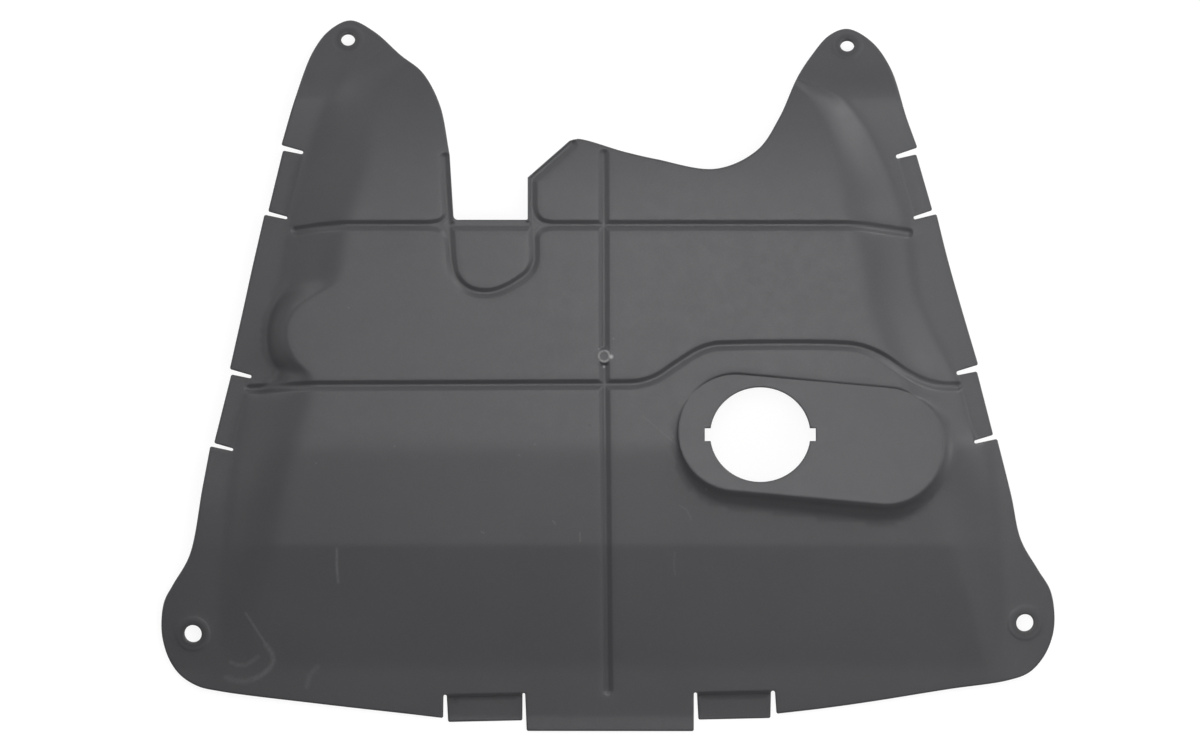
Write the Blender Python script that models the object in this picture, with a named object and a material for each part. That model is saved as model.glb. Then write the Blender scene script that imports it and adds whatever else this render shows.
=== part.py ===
"""Engine splash shield: one moulded plastic panel that closes the bay below an engine.

The panel lies as it would on a bench, road side up, on its two front tabs and its two rear ears.
X runs across the car, Y towards the rear and Z up. Lengths are metres, and z = 0 is the bench.
The sheet is drawn flat as an outline with its cut-outs and fold lines, pressed to height by the
functions of the die, and given its wall.
"""

import math

import bmesh
import bpy
import numpy as np
from mathutils import Vector
from mathutils.geometry import delaunay_2d_cdt

MM = 0.001

# Overall size in plan. The plan is drawn in millimetres for these sizes, and stretches with them.
PANEL_WIDTH = 760.0 * MM
PANEL_LENGTH = 605.0 * MM
DRAWN_WIDTH = 760.0
DRAWN_LENGTH = 605.0
ACROSS = PANEL_WIDTH / DRAWN_WIDTH
ALONG = PANEL_LENGTH / DRAWN_LENGTH

# Wall of the moulding and how finely its sheet is cut into facets
WALL = 3.0 * MM
UPRIGHT_REACH = 6.0 * MM
MOST_STRETCH = 1.25
CURVE_STEP = 9.0 * MM
GROOVE_STEP = 6.0 * MM
FIELD_STEP = 30.0 * MM
SHORTEST_EDGE = 1.6 * MM

# Heights of the road side's skin above the bench, and the falls towards the front
BELLY_HEIGHT = 48.0 * MM
FIRST_FOLD_Y = -61.0 * ALONG
SECOND_FOLD_Y = -144.5 * ALONG
THIRD_FOLD_Y = -248.5 * ALONG
LIP_FOLD_Y = -290.5 * ALONG
FIRST_FALL = math.radians(7.5)
SECOND_FALL = math.radians(13.0)
THIRD_FALL = math.radians(9.5)
LIP_FALL = math.radians(3.0)

# Rear end of the belly: from the rear groove it bows down into the ears, by this much at each line
REAR_BOW = [
    (166.0 * ALONG, 1.2 * MM), (199.5 * ALONG, 4.5 * MM),
    (235.0 * ALONG, 11.0 * MM), (262.0 * ALONG, 19.5 * MM)]

# Side flanges, lower than the belly, and the two ears that slope down to the bench
FLANGE_HEIGHT = 29.0 * MM
FLANGE_BEND_Y = -100.0 * ALONG
FLANGE_SECOND_FOLD_HEIGHT = 25.5 * MM
FLANGE_THIRD_FOLD_HEIGHT = 12.0 * MM
EAR_BOW = [(235.0 * ALONG, 0.0 * MM), (249.0 * ALONG, 2.8 * MM), (262.0 * ALONG, 8.0 * MM)]
LEFT_EAR_TIP_Y = 302.1 * ALONG
RIGHT_EAR_TIP_Y = 294.9 * ALONG
RAMP_STEP = 8.0 * MM

# Tabs: a hinge fold between two slits that narrow inwards, with the strip beyond it one step down
NARROW_SLIT = 2.8 * MM
PLAIN_SLIT = 3.4 * MM
WIDE_SLIT = 4.3 * MM
SLIT_TAPER = 0.2
SLIT_DEPTH = 19.6 * MM
TAB_SETBACK = 2.4 * MM
TAB_STEP = 3.0 * MM
TAB_FOLD_RUN = 3.5 * MM
TAB_CORNER_RADIUS = 1.6 * MM
FRONT_TAB_REACH = 23.3 * MM
SIDE_TAB_REACH = SLIT_DEPTH - TAB_SETBACK

# Ramps narrower than this count as steps
NARROWEST_RAMP = 0.1 * MM

# Grooves that stiffen the sheet
GROOVE_WIDTH = 8.0 * MM
GROOVE_FLOOR = 3.2 * MM
GROOVE_DEPTH = 2.6 * MM
EDGE_GROOVE_INSET = 3.6 * MM

# Breakout notch in the rear edge
NOTCH_FLOOR_Y = 132.0 * ALONG
NOTCH_LEFT_X = -131.4 * ACROSS
NOTCH_RIGHT_X = -68.6 * ACROSS
NOTCH_SHOULDER_Y = 167.9 * ALONG
NOTCH_CORNER_RADIUS = 3.5 * MM

# Front lip between the two front tabs
LIP_EDGE_Y = -302.9 * ALONG

# Drain pad: a level table with round ends that stands proud of the falling belly
PAD_CENTRE = (108.5 * ACROSS, -48.5 * ALONG)
PAD_RADIUS = 49.0 * MM
PAD_LENGTH = 127.0 * MM
PAD_TURN = math.radians(-5.2)
PAD_SINK = 1.3 * MM
PAD_RISE = math.radians(5.0)
PAD_WALL_SLOPE = math.radians(46.0)
PAD_LEAST_RUN = 1.5 * MM
PAD_ARC_PIECES = 18

# Drain hole in the pad, with a key notch on either side
DRAIN_OFFSET = 20.5 * MM
DRAIN_WIDTH = 85.0 * MM
DRAIN_LENGTH = 80.4 * MM
DRAIN_KEY_DEPTH = 4.6 * MM
DRAIN_KEY_WIDTH = 11.0 * MM
DRAIN_PIECES = 40

# Fixing holes and their raised seats
REAR_BORE = 11.8 * MM
FRONT_BORE = 14.9 * MM
REAR_SEAT = 24.5 * MM
FRONT_SEAT = 27.5 * MM
SEAT_RISE = 1.6 * MM
SEAT_FLANK = 1.8 * MM
FIXING_PIECES = 24
FIXINGS = {
    "rear_left": ((-221.5 * ACROSS, 285.8 * ALONG), REAR_BORE, REAR_SEAT),
    "rear_right": ((203.2 * ACROSS, 280.7 * ALONG), REAR_BORE, REAR_SEAT),
    "front_left": ((-353.5 * ACROSS, -220.0 * ALONG), FRONT_BORE, FRONT_SEAT),
    "front_right": ((354.4 * ACROSS, -210.7 * ALONG), FRONT_BORE, FRONT_SEAT),
}


def drawn(*pairs):
    """Points of the drawn plan, as vectors in metres."""
    return [Vector((x * ACROSS, y * ALONG)) for x, y in pairs]


# Hinge of each tab, from its first slit to its second, going round the panel with the left side first
LEFT_REAR_HINGE = drawn((-273.0, 133.5), (-259.5, 189.0))
RIGHT_REAR_HINGE = drawn((244.5, 185.5), (259.5, 133.5))
RIGHT_MIDDLE_HINGE = drawn((296.0, 1.5), (311.0, -57.0))
FRONT_RIGHT_HINGE = drawn((140.0, -268.5), (74.0, -270.0))
FRONT_LEFT_HINGE = drawn((-72.0, -270.5), (-139.0, -272.0))
LEFT_MIDDLE_HINGE = drawn((-319.0, -63.5), (-303.5, -1.5))

# Free edges between the tabs, as the points that their curves run through
LEFT_EAR_EDGE = drawn(
    (-266.3, 235.5), (-251.0, 276.0), (-236.8, 294.1), (-219.5, 302.1), (-199.1, 292.3),
    (-176.6, 272.2), (-158.1, 257.4), (-143.3, 229.9), (-134.8, 187.1))
REAR_EDGE = drawn(
    (-26.0, 200.8), (13.6, 189.8), (40.6, 183.6), (91.5, 175.4), (126.3, 191.2), (145.1, 218.8),
    (160.6, 253.2), (173.0, 272.3), (187.8, 289.2), (203.5, 294.9), (223.9, 283.9), (240.0, 261.0),
    (253.4, 219.0))
SHOULDER_TIP = drawn((-33.2, 199.0))[0]
RIGHT_SIDE_EDGE = drawn((288.3, 99.2), (300.5, 55.9))
RIGHT_CORNER_EDGE = drawn(
    (342.6, -102.6), (350.7, -139.7), (365.3, -165.2), (376.0, -183.0), (379.6, -205.0),
    (377.9, -221.9), (370.5, -239.5), (357.9, -253.1), (339.9, -259.7), (289.5, -267.2),
    (221.6, -278.1), (179.2, -284.0))
LEFT_CORNER_EDGE = drawn(
    (-165.5, -288.9), (-247.2, -279.6), (-330.8, -269.0), (-349.7, -264.6), (-364.3, -255.3),
    (-373.5, -242.6), (-379.2, -225.5), (-380.4, -209.5), (-377.8, -192.0), (-370.5, -178.2),
    (-356.2, -152.9), (-345.2, -95.7))
LEFT_SIDE_EDGE = drawn((-310.5, 56.3), (-303.4, 88.9))

# Side ramps: the belly ends at the inner line, and the flange begins at the outer one
LEFT_RAMP_INNER = drawn(
    (-143.5, 285.5), (-180.0, 256.5), (-193.0, 241.5), (-199.5, 219.0), (-204.0, 183.5),
    (-221.0, 129.5), (-226.0, 102.5), (-231.5, 80.0), (-247.0, 70.0), (-263.0, 60.0), (-272.5, 45.5),
    (-274.0, 32.5), (-267.0, 14.0), (-252.5, -1.5), (-253.0, -21.0), (-260.0, -46.5), (-269.5, -81.0),
    (-282.5, -146.5), (-295.0, -191.5), (-305.5, -248.5), (-309.0, -276.5))
LEFT_RAMP_OUTER = drawn(
    (-152.0, 302.5), (-190.5, 277.0), (-211.5, 263.5), (-225.5, 249.0), (-239.0, 227.5),
    (-250.0, 189.5), (-263.5, 146.0), (-270.5, 106.5), (-275.5, 77.0), (-287.5, 51.5), (-290.5, 35.0),
    (-289.5, 21.5), (-286.0, 12.0), (-281.0, 3.0), (-290.0, -8.0), (-303.5, -21.0), (-309.5, -46.5),
    (-318.0, -89.5), (-324.0, -140.5), (-329.0, -191.5), (-329.0, -276.5))
RIGHT_RAMP_INNER = drawn(
    (133.5, 268.5), (162.5, 244.0), (176.0, 227.5), (187.0, 205.5), (195.0, 178.0), (198.0, 146.0),
    (211.0, 113.5), (219.5, 61.5), (231.5, 28.5), (248.5, 0.0), (261.0, -30.0), (270.0, -64.0),
    (278.0, -106.0), (291.0, -144.5), (306.0, -191.5), (319.0, -248.5), (325.0, -276.5))
RIGHT_RAMP_OUTER = drawn(
    (133.5, 268.6), (162.5, 251.5), (197.5, 235.5), (217.0, 211.5), (233.0, 178.0), (244.0, 151.0),
    (252.0, 129.5), (262.0, 64.0), (278.5, 25.5), (295.0, -6.0), (308.5, -46.5), (320.0, -62.0),
    (327.0, -89.5), (332.0, -140.5), (336.0, -191.5), (336.0, -276.5))

# Groove routes, along the middle of each groove
LEFT_LEG_INSET = 4.0 * MM
RIGHT_LEG_INSET = 4.7 * MM
RIGHT_LEG_BEND = 15.0 * MM
LEFT_LEG_TOP = drawn((-139.3, 185.0), (-137.8, 157.0))
REAR_GROOVE_DROP = 4.6 * MM
REAR_GROOVE_LEFT_END = drawn((-265.5, 122.5), (-245.5, 125.5))
REAR_GROOVE_RIGHT_END = drawn((217.0, 126.5), (255.0, 121.0))
REAR_GROOVE_STRAIGHT = (-224.5 * ACROSS, 203.5 * ACROSS)
FRONT_GROOVE_LEFT_END = drawn((-305.0, -12.0), (-263.0, -9.5), (-250.0, -9.0))
FRONT_GROOVE_HUMP = drawn(
    (10.0, -7.8), (25.0, -7.2), (40.5, -2.5), (57.5, 8.5), (75.0, 19.5), (88.0, 24.2), (104.0, 25.4),
    (195.0, 25.4), (213.0, 23.4), (232.0, 16.0), (252.5, 2.5), (269.5, -6.0), (283.5, -9.0),
    (297.0, -9.5))
LONG_GROOVE = drawn((-4.0, 188.0), (-3.5, 16.5), (-0.5, -268.0))
PATCH_GROOVE = drawn(
    (-134.2, 106.5), (-133.3, 96.5), (-130.5, 84.5), (-123.5, 75.5), (-115.5, 71.2), (-107.0, 69.7),
    (-97.5, 70.3), (-86.5, 74.2), (-75.2, 80.8), (-67.3, 87.5), (-63.3, 96.0), (-62.8, 105.5))

# Fillets where the rear groove meets the breakout groove's legs: shares of the reach along the rear
# groove, of the way over to the leg, and of the reach along the leg
JUNCTION_REACHES = (16.0 * MM, 8.0 * MM)
JUNCTION_SHAPE = [(1.0, 0.0, 0.0), (0.4, 0.0, 0.14), (0.08, 0.15, 0.5), (0.0, 1.0, 1.0)]


def catmull_rom(before, start, end, after, share):
    """Point on the centripetal curve from start to end, at this share of the way."""
    knots = [0.0]
    for first, second in ((before, start), (start, end), (end, after)):
        knots.append(knots[-1] + math.sqrt((second - first).length))
    at = knots[1] + share * (knots[2] - knots[1])

    def blend(low_point, high_point, low, high):
        return low_point.lerp(high_point, (at - knots[low]) / (knots[high] - knots[low]))

    first = blend(before, start, 0, 1)
    middle = blend(start, end, 1, 2)
    last = blend(end, after, 2, 3)
    return blend(blend(first, middle, 0, 2), blend(middle, last, 1, 3), 1, 2)


def curve(keys, step=CURVE_STEP):
    """Points about one step apart along the smooth curve through the key points."""
    ends = [keys[0] * 2 - keys[1], *keys, keys[-1] * 2 - keys[-2]]
    points = []
    for before, start, end, after in zip(ends, ends[1:], ends[2:], ends[3:]):
        pieces = max(1, round((end - start).length / step))
        points += [catmull_rom(before, start, end, after, i / pieces) for i in range(pieces)]
    return [*points, keys[-1]]


def straight(start, end, step=FIELD_STEP):
    """Points about one step apart along a straight line."""
    pieces = max(1, round((end - start).length / step))
    return [start.lerp(end, i / pieces) for i in range(pieces + 1)]


def rounded(before, corner, after, radius, pieces=3):
    """A corner replaced by an arc of this radius."""
    to_before = (before - corner).normalized()
    to_after = (after - corner).normalized()
    half_angle = to_before.angle(to_after) / 2
    middle = corner + (to_before + to_after).normalized() * radius / math.sin(half_angle)
    start = corner + to_before * radius / math.tan(half_angle) - middle
    end = corner + to_after * radius / math.tan(half_angle) - middle
    arc = [start.lerp(end, i / pieces).normalized() * radius for i in range(pieces + 1)]
    return [middle + spoke for spoke in arc]


def outward(hinge):
    """Unit vector from a tab's hinge towards the panel's edge."""
    along = (hinge[1] - hinge[0]).normalized()
    return Vector((-along.y, along.x))


def slit_path(end, side, width, depth, reach):
    """Edge points down one slit and back: panel corner, round inner end, tab corner."""
    towards_tab, away = side
    mouth, nose = width * (1 + SLIT_TAPER) / 2, width * (1 - SLIT_TAPER) / 2
    panel_corner = end - towards_tab * mouth + away * depth
    tab_corner = end + towards_tab * mouth + away * reach
    middle = end + away * nose
    turns = [math.pi * i / 4 for i in range(5)]
    arc = [middle - (towards_tab * math.cos(turn) + away * math.sin(turn)) * nose for turn in turns]
    return [
        *rounded(panel_corner - towards_tab, panel_corner, arc[0], TAB_CORNER_RADIUS, 2),
        *arc,
        *rounded(arc[-1], tab_corner, tab_corner + towards_tab, TAB_CORNER_RADIUS, 2),
    ]


def tab_path(hinge, reach, first, second):
    """Edge points round a tab, from the panel's edge before it to the panel's edge after it."""
    along = (hinge[1] - hinge[0]).normalized()
    into = slit_path(hinge[0], (along, outward(hinge)), *first, reach)
    back = slit_path(hinge[1], (-along, outward(hinge)), *second, reach)
    return [*into, *reversed(back)]


# Each tab: its hinge, its reach, and the width and depth of its first slit and of its second
TABS = [
    (LEFT_REAR_HINGE, SIDE_TAB_REACH, (NARROW_SLIT, SLIT_DEPTH), (PLAIN_SLIT, SLIT_DEPTH)),
    (RIGHT_REAR_HINGE, SIDE_TAB_REACH, (WIDE_SLIT, SLIT_DEPTH), (PLAIN_SLIT, SLIT_DEPTH)),
    (RIGHT_MIDDLE_HINGE, SIDE_TAB_REACH, (WIDE_SLIT, SLIT_DEPTH), (PLAIN_SLIT, SLIT_DEPTH)),
    (FRONT_RIGHT_HINGE, FRONT_TAB_REACH, (WIDE_SLIT, SLIT_DEPTH),
     (PLAIN_SLIT, FRONT_RIGHT_HINGE[1].y - LIP_EDGE_Y)),
    (FRONT_LEFT_HINGE, FRONT_TAB_REACH, (NARROW_SLIT, FRONT_LEFT_HINGE[0].y - LIP_EDGE_Y),
     (PLAIN_SLIT, SLIT_DEPTH)),
    (LEFT_MIDDLE_HINGE, SIDE_TAB_REACH, (NARROW_SLIT, SLIT_DEPTH), (PLAIN_SLIT, SLIT_DEPTH)),
]


def panel_outline():
    """The panel's edge in plan, clockwise from the left rear tab, in and out of every slit."""
    left_rear, right_rear, right_middle, front_right, front_left, left_middle = [
        tab_path(*tab) for tab in TABS]
    floor_left = Vector((NOTCH_LEFT_X, NOTCH_FLOOR_Y))
    floor_right = Vector((NOTCH_RIGHT_X, NOTCH_FLOOR_Y))
    shoulder = Vector((NOTCH_RIGHT_X, NOTCH_SHOULDER_Y))
    return [
        *left_rear,
        *curve([left_rear[-1], *LEFT_EAR_EDGE])[1:],
        *rounded(LEFT_EAR_EDGE[-1], floor_left, floor_right, NOTCH_CORNER_RADIUS),
        *rounded(floor_left, floor_right, shoulder, NOTCH_CORNER_RADIUS / 3),
        shoulder,
        *curve([SHOULDER_TIP, *REAR_EDGE, right_rear[0]])[:-1],
        *right_rear,
        *curve([right_rear[-1], *RIGHT_SIDE_EDGE, right_middle[0]])[1:-1],
        *right_middle,
        *curve([right_middle[-1], *RIGHT_CORNER_EDGE, front_right[0]])[1:-1],
        *front_right,
        *front_left,
        *curve([front_left[-1], *LEFT_CORNER_EDGE, left_middle[0]])[1:-1],
        *left_middle,
        *curve([left_middle[-1], *LEFT_SIDE_EDGE, left_rear[0]])[1:-1],
    ]


def junction_fillet(corner, side, up, leg, reach):
    """Short groove that rounds one corner where the rear groove meets a leg of the breakout groove."""
    end_y = corner.y + up * reach
    end_x = profile([(p.y, p.x) for p in leg], end_y)
    points = []
    for along, over, onward in JUNCTION_SHAPE:
        x = corner.x + (end_x - corner.x) * over + side * reach * along
        points.append(Vector((x, corner.y + up * reach * onward)))
    return curve(points, CURVE_STEP / 2)


def groove_routes():
    """The middle line of every groove, the short ones that fillet a junction among them."""
    rear_y = rear_groove_y()
    inset = EDGE_GROOVE_INSET
    left = Vector((NOTCH_LEFT_X - LEFT_LEG_INSET, rear_y))
    right = Vector((NOTCH_RIGHT_X + RIGHT_LEG_INSET, rear_y))
    bend = Vector((NOTCH_RIGHT_X + inset, rear_y + RIGHT_LEG_BEND))
    shoulder = Vector((NOTCH_RIGHT_X, NOTCH_SHOULDER_Y))
    slant = (SHOULDER_TIP - shoulder).normalized()
    slant_inset = Vector((slant.y, -slant.x)) * inset
    knee = shoulder + Vector((inset, -inset * slant.x / (1 + slant.y)))
    breakout = curve([*LEFT_LEG_TOP, left, *PATCH_GROOVE, right, bend], GROOVE_STEP)
    rear_straight = straight(*[Vector((x, rear_y)) for x in REAR_GROOVE_STRAIGHT])
    left_leg = [*LEFT_LEG_TOP, left, PATCH_GROOVE[0]]
    right_leg = [PATCH_GROOVE[-1], right, bend, knee]
    return [
        [*curve(REAR_GROOVE_LEFT_END), *rear_straight, *curve(REAR_GROOVE_RIGHT_END)],
        [*curve(FRONT_GROOVE_LEFT_END), *curve(FRONT_GROOVE_HUMP, GROOVE_STEP)],
        straight(LONG_GROOVE[0], LONG_GROOVE[1]) + straight(LONG_GROOVE[1], LONG_GROOVE[2])[1:],
        [*breakout, knee, SHOULDER_TIP + slant_inset],
        *[junction_fillet(left, -1, up, left_leg, reach) for up in (1, -1) for reach in JUNCTION_REACHES],
        *[junction_fillet(right, 1, up, right_leg, reach) for up in (1, -1) for reach in JUNCTION_REACHES],
    ]


def distance_to_lines(points, lines):
    """Least distance from each point to any of the polylines."""
    starts = np.array([tuple(p) for line in lines for p in line[:-1]])
    ends = np.array([tuple(p) for line in lines for p in line[1:]])
    spans = ends - starts
    lengths = np.maximum((spans ** 2).sum(axis=1), 1e-18)
    nearest = np.full(len(points), np.inf)
    for start, span, length in zip(starts, spans, lengths):
        share = np.clip(((points - start) @ span) / length, 0.0, 1.0)
        gap = points - start - share[:, None] * span
        nearest = np.minimum(nearest, np.hypot(gap[:, 0], gap[:, 1]))
    return nearest


def closed(loop):
    return [*loop, loop[0]]


def inside(points, loop):
    """Which of the points lie inside the closed loop."""
    result = np.zeros(len(points), dtype=bool)
    x, y = points[:, 0], points[:, 1]
    for start, end in zip(loop, closed(loop)[1:]):
        if start.y == end.y:
            continue
        crosses = (start.y > y) != (end.y > y)
        at = start.x + (y - start.y) * (end.x - start.x) / (end.y - start.y)
        result ^= crosses & (x < at)
    return result


def profile(stations, y):
    """Value at y, on straight lines between stations given as (y, value)."""
    ordered = sorted(stations)
    return np.interp(y, [s[0] for s in ordered], [s[1] for s in ordered])


def rear_groove_y():
    """The rear groove runs just in front of the notch, and the belly's bow begins in it."""
    return NOTCH_FLOOR_Y - REAR_GROOVE_DROP


def belly_stations():
    """The belly's height from the lip to the ears, at each line where its slope changes."""
    second = BELLY_HEIGHT - (FIRST_FOLD_Y - SECOND_FOLD_Y) * math.tan(FIRST_FALL)
    third = second - (SECOND_FOLD_Y - THIRD_FOLD_Y) * math.tan(SECOND_FALL)
    lip = third - (THIRD_FOLD_Y - LIP_FOLD_Y) * math.tan(THIRD_FALL)
    edge = lip - (LIP_FOLD_Y - LIP_EDGE_Y) * math.tan(LIP_FALL)
    return [
        (LIP_EDGE_Y, edge), (LIP_FOLD_Y, lip), (THIRD_FOLD_Y, third), (SECOND_FOLD_Y, second),
        (FIRST_FOLD_Y, BELLY_HEIGHT), (rear_groove_y(), BELLY_HEIGHT),
        *[(y, BELLY_HEIGHT - drop) for y, drop in REAR_BOW],
    ]


def flange_stations(ear_tip_y):
    """The flange's height at its own lines; its ear slopes down as low as the two front tabs."""
    belly = belly_stations()
    front_tab_y = FRONT_LEFT_HINGE[1].y - FRONT_TAB_REACH
    return [
        *belly[:2],
        (THIRD_FOLD_Y, FLANGE_THIRD_FOLD_HEIGHT),
        (SECOND_FOLD_Y, FLANGE_SECOND_FOLD_HEIGHT),
        (FLANGE_BEND_Y, FLANGE_HEIGHT),
        *[(y, FLANGE_HEIGHT - drop) for y, drop in EAR_BOW],
        (ear_tip_y, profile(belly, front_tab_y) - TAB_STEP),
    ]


def ramp_width_lines(inner, outer):
    """Both lines of a ramp as x at the same places along y, so that the ramp is a ladder of strips."""
    keys = [curve(line, RAMP_STEP / 2) for line in (inner, outer)]
    front = max(keys[0][-1].y, keys[1][-1].y)
    rear = min(keys[0][0].y, keys[1][0].y)
    pieces = round((rear - front) / RAMP_STEP)
    y = np.linspace(front, rear, pieces + 1)
    return y, *[profile([(p.y, p.x) for p in line], y) for line in keys]


def ramp_share(points, ramps):
    """Zero on the belly, one on the flanges, and the share of the way across on the ramps between."""
    share = np.zeros(len(points))
    for (y, inner, outer), side in zip(ramps, (-1, 1)):
        inner_x = np.interp(points[:, 1], y, inner)
        width = np.maximum(side * (np.interp(points[:, 1], y, outer) - inner_x), NARROWEST_RAMP)
        share = np.maximum(share, np.clip(side * (points[:, 0] - inner_x) / width, 0.0, 1.0))
    return share


def body_height(points):
    """The pressed body without its grooves, seats, tabs and pad."""
    share = ramp_share(points, side_ramps())
    belly = profile(belly_stations(), points[:, 1])
    ears = [profile(flange_stations(tip_y), points[:, 1]) for tip_y in (LEFT_EAR_TIP_Y, RIGHT_EAR_TIP_Y)]
    flange = np.where(points[:, 0] < 0, *ears)
    return belly * (1 - share) + np.minimum(flange, belly) * share


def side_ramps():
    return [ramp_width_lines(LEFT_RAMP_INNER, LEFT_RAMP_OUTER),
            ramp_width_lines(RIGHT_RAMP_INNER, RIGHT_RAMP_OUTER)]


def pad_axes():
    along = Vector((math.cos(PAD_TURN), math.sin(PAD_TURN)))
    return along, Vector((-along.y, along.x))


def pad_rim():
    """The pad's edge: two arcs joined by straight sides, anticlockwise from its far end."""
    along, across = pad_axes()
    first = Vector(PAD_CENTRE)
    loop = []
    for middle, start in ((first + along * PAD_LENGTH, -math.pi / 2), (first, math.pi / 2)):
        turns = [start + math.pi * i / PAD_ARC_PIECES for i in range(PAD_ARC_PIECES + 1)]
        loop += [middle + (along * math.cos(t) + across * math.sin(t)) * PAD_RADIUS for t in turns]
    pieces = round(PAD_LENGTH / CURVE_STEP / 2)
    side_starts = (loop[PAD_ARC_PIECES], loop[2 * PAD_ARC_PIECES + 1])
    upper = [side_starts[0].lerp(loop[PAD_ARC_PIECES + 1], i / pieces) for i in range(1, pieces)]
    lower = [side_starts[1].lerp(loop[0], i / pieces) for i in range(1, pieces)]
    return [*loop[:PAD_ARC_PIECES + 1], *upper, *loop[PAD_ARC_PIECES + 1:], *lower]


def pad_height(points):
    """The pad's plane: sunk a little at its rear side and rising towards the front of the car."""
    across = pad_axes()[1]
    rear = Vector(PAD_CENTRE) + across * PAD_RADIUS
    forward = -(points - np.array(rear)) @ np.array(across)
    return BELLY_HEIGHT - PAD_SINK + forward * math.tan(PAD_RISE)


def pad_foot(rim):
    """Where the pad's wall, falling at its own slope from each rim point, meets the body."""
    following, previous = [*rim[1:], rim[0]], [rim[-1], *rim[:-1]]
    foot = []
    for point, after, before in zip(rim, following, previous):
        edge = (after - before).normalized()
        away = Vector((edge.y, -edge.x))
        top = pad_height(np.array([tuple(point)]))[0]
        run = PAD_LEAST_RUN
        for _ in range(6):
            ground = body_height(np.array([tuple(point + away * run)]))[0]
            run = max(PAD_LEAST_RUN, (top - ground) / math.tan(PAD_WALL_SLOPE))
        foot.append(point + away * run)
    return foot


def drain_hole():
    """The drain's edge: an oval with a key notch at either end of its width."""
    along = pad_axes()[0]
    middle = Vector(PAD_CENTRE) + along * DRAIN_OFFSET
    half_key = DRAIN_KEY_WIDTH / 2
    gap = math.asin(DRAIN_KEY_WIDTH / DRAIN_LENGTH)
    loop = []
    for start in (gap, math.pi + gap):
        sweep = math.pi - 2 * gap
        pieces = DRAIN_PIECES // 2
        turns = [start + sweep * i / pieces for i in range(pieces + 1)]
        spokes = [Vector((math.cos(t) * DRAIN_WIDTH / 2, math.sin(t) * DRAIN_LENGTH / 2)) for t in turns]
        loop += [middle + spoke for spoke in spokes]
        side = -1 if start == gap else 1
        key_x = side * (DRAIN_WIDTH / 2 + DRAIN_KEY_DEPTH)
        loop += [middle + Vector((key_x, -side * half_key)), middle + Vector((key_x, side * half_key))]
    return loop


class Fixing:
    """A fixing hole in a flat raised seat that lies in the slope of the flange round it."""

    def __init__(self, centre, bore, seat):
        self.centre = Vector(centre)
        self.bore = bore
        self.seat = seat
        reach = seat / 2
        samples = [self.centre + Vector(step) * reach for step in ((1, 0), (-1, 0), (0, 1), (0, -1))]
        east, west, north, south = body_height(np.array([tuple(p) for p in samples]))
        self.tilt = Vector(((east - west) / (2 * reach), (north - south) / (2 * reach)))
        self.height = (east + west + north + south) / 4
        self.fall = self.tilt.normalized() if self.tilt.length > 0 else Vector((0, 1))
        self.shrink = math.cos(math.atan(self.tilt.length))

    def circle(self, radius):
        """Plan of a circle that is round in the seat's own plane."""
        level = Vector((-self.fall.y, self.fall.x))
        turns = [2 * math.pi * i / FIXING_PIECES for i in range(FIXING_PIECES)]
        spokes = [level * math.cos(t) + self.fall * math.sin(t) * self.shrink for t in turns]
        return [self.centre + spoke * radius for spoke in spokes]

    def loops(self):
        return [self.circle(self.seat / 2), self.circle(self.seat / 2 + SEAT_FLANK)]

    def radius_at(self, points):
        gap = points - np.array(self.centre)
        down = gap @ np.array(self.fall) / self.shrink
        level = gap @ np.array((-self.fall.y, self.fall.x))
        return np.hypot(down, level)

    def raise_seat(self, points, heights):
        """Heights with the seat's plane put in, and a short flank round it."""
        plane = self.height + SEAT_RISE + (points - np.array(self.centre)) @ np.array(self.tilt)
        share = np.clip((self.radius_at(points) - self.seat / 2) / SEAT_FLANK, 0.0, 1.0)
        return plane * (1 - share) + heights * share


def tab_drop(points):
    """How far each point lies below its surroundings on a tab."""
    drop = np.zeros(len(points))
    for hinge, *_ in TABS:
        along = (hinge[1] - hinge[0]).normalized()
        gap = points - np.array(hinge[0])
        beside = gap @ np.array(along)
        beyond = gap @ np.array(outward(hinge))
        on_tab = (beside > 0) & (beside < (hinge[1] - hinge[0]).length) & (beyond < SLIT_DEPTH * 1.5)
        drop = np.where(on_tab, np.maximum(drop, TAB_STEP * np.clip(beyond / TAB_FOLD_RUN, 0, 1)), drop)
    return drop


def skin_height(points, rim, foot, routes, fixings):
    """The die: height of the road side's skin over each point of the sheet."""
    heights = body_height(points)
    from_route = distance_to_lines(points, routes)
    flank = (GROOVE_WIDTH - GROOVE_FLOOR) / 2
    heights = heights - GROOVE_DEPTH * np.clip((GROOVE_WIDTH / 2 - from_route) / flank, 0.0, 1.0)
    from_rim = np.where(inside(points, rim), 0.0, distance_to_lines(points, [closed(rim)]))
    from_foot = np.where(inside(points, foot), distance_to_lines(points, [closed(foot)]), 0.0)
    share = np.where(from_rim > 1e-7, from_rim / np.maximum(from_rim + from_foot, 1e-9), 0.0)
    heights = pad_height(points) * (1 - share) + heights * share
    for fixing in fixings:
        heights = fixing.raise_seat(points, heights)
    return heights - tab_drop(points)


def band(route, half_width):
    """Closed outline round a route at this half width, with round ends."""
    directions = [(b - a).normalized() for a, b in zip(route, route[1:])]
    before = [directions[0], *directions]
    after = [*directions, directions[-1]]
    right, left = [], []
    for point, a, b in zip(route, before, after):
        along = (a + b).normalized()
        normal = Vector((along.y, -along.x)) * half_width / max(0.5, along.dot(a))
        right.append(point + normal)
        left.append(point - normal)
    caps = []
    for point, along in ((route[-1], directions[-1]), (route[0], -directions[0])):
        normal = Vector((along.y, -along.x))
        turns = [math.pi * i / 4 for i in (1, 2, 3)]
        caps.append([point + (normal * math.cos(t) + along * math.sin(t)) * half_width for t in turns])
    return [*right, *caps[0], *reversed(left), *caps[1]]


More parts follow.
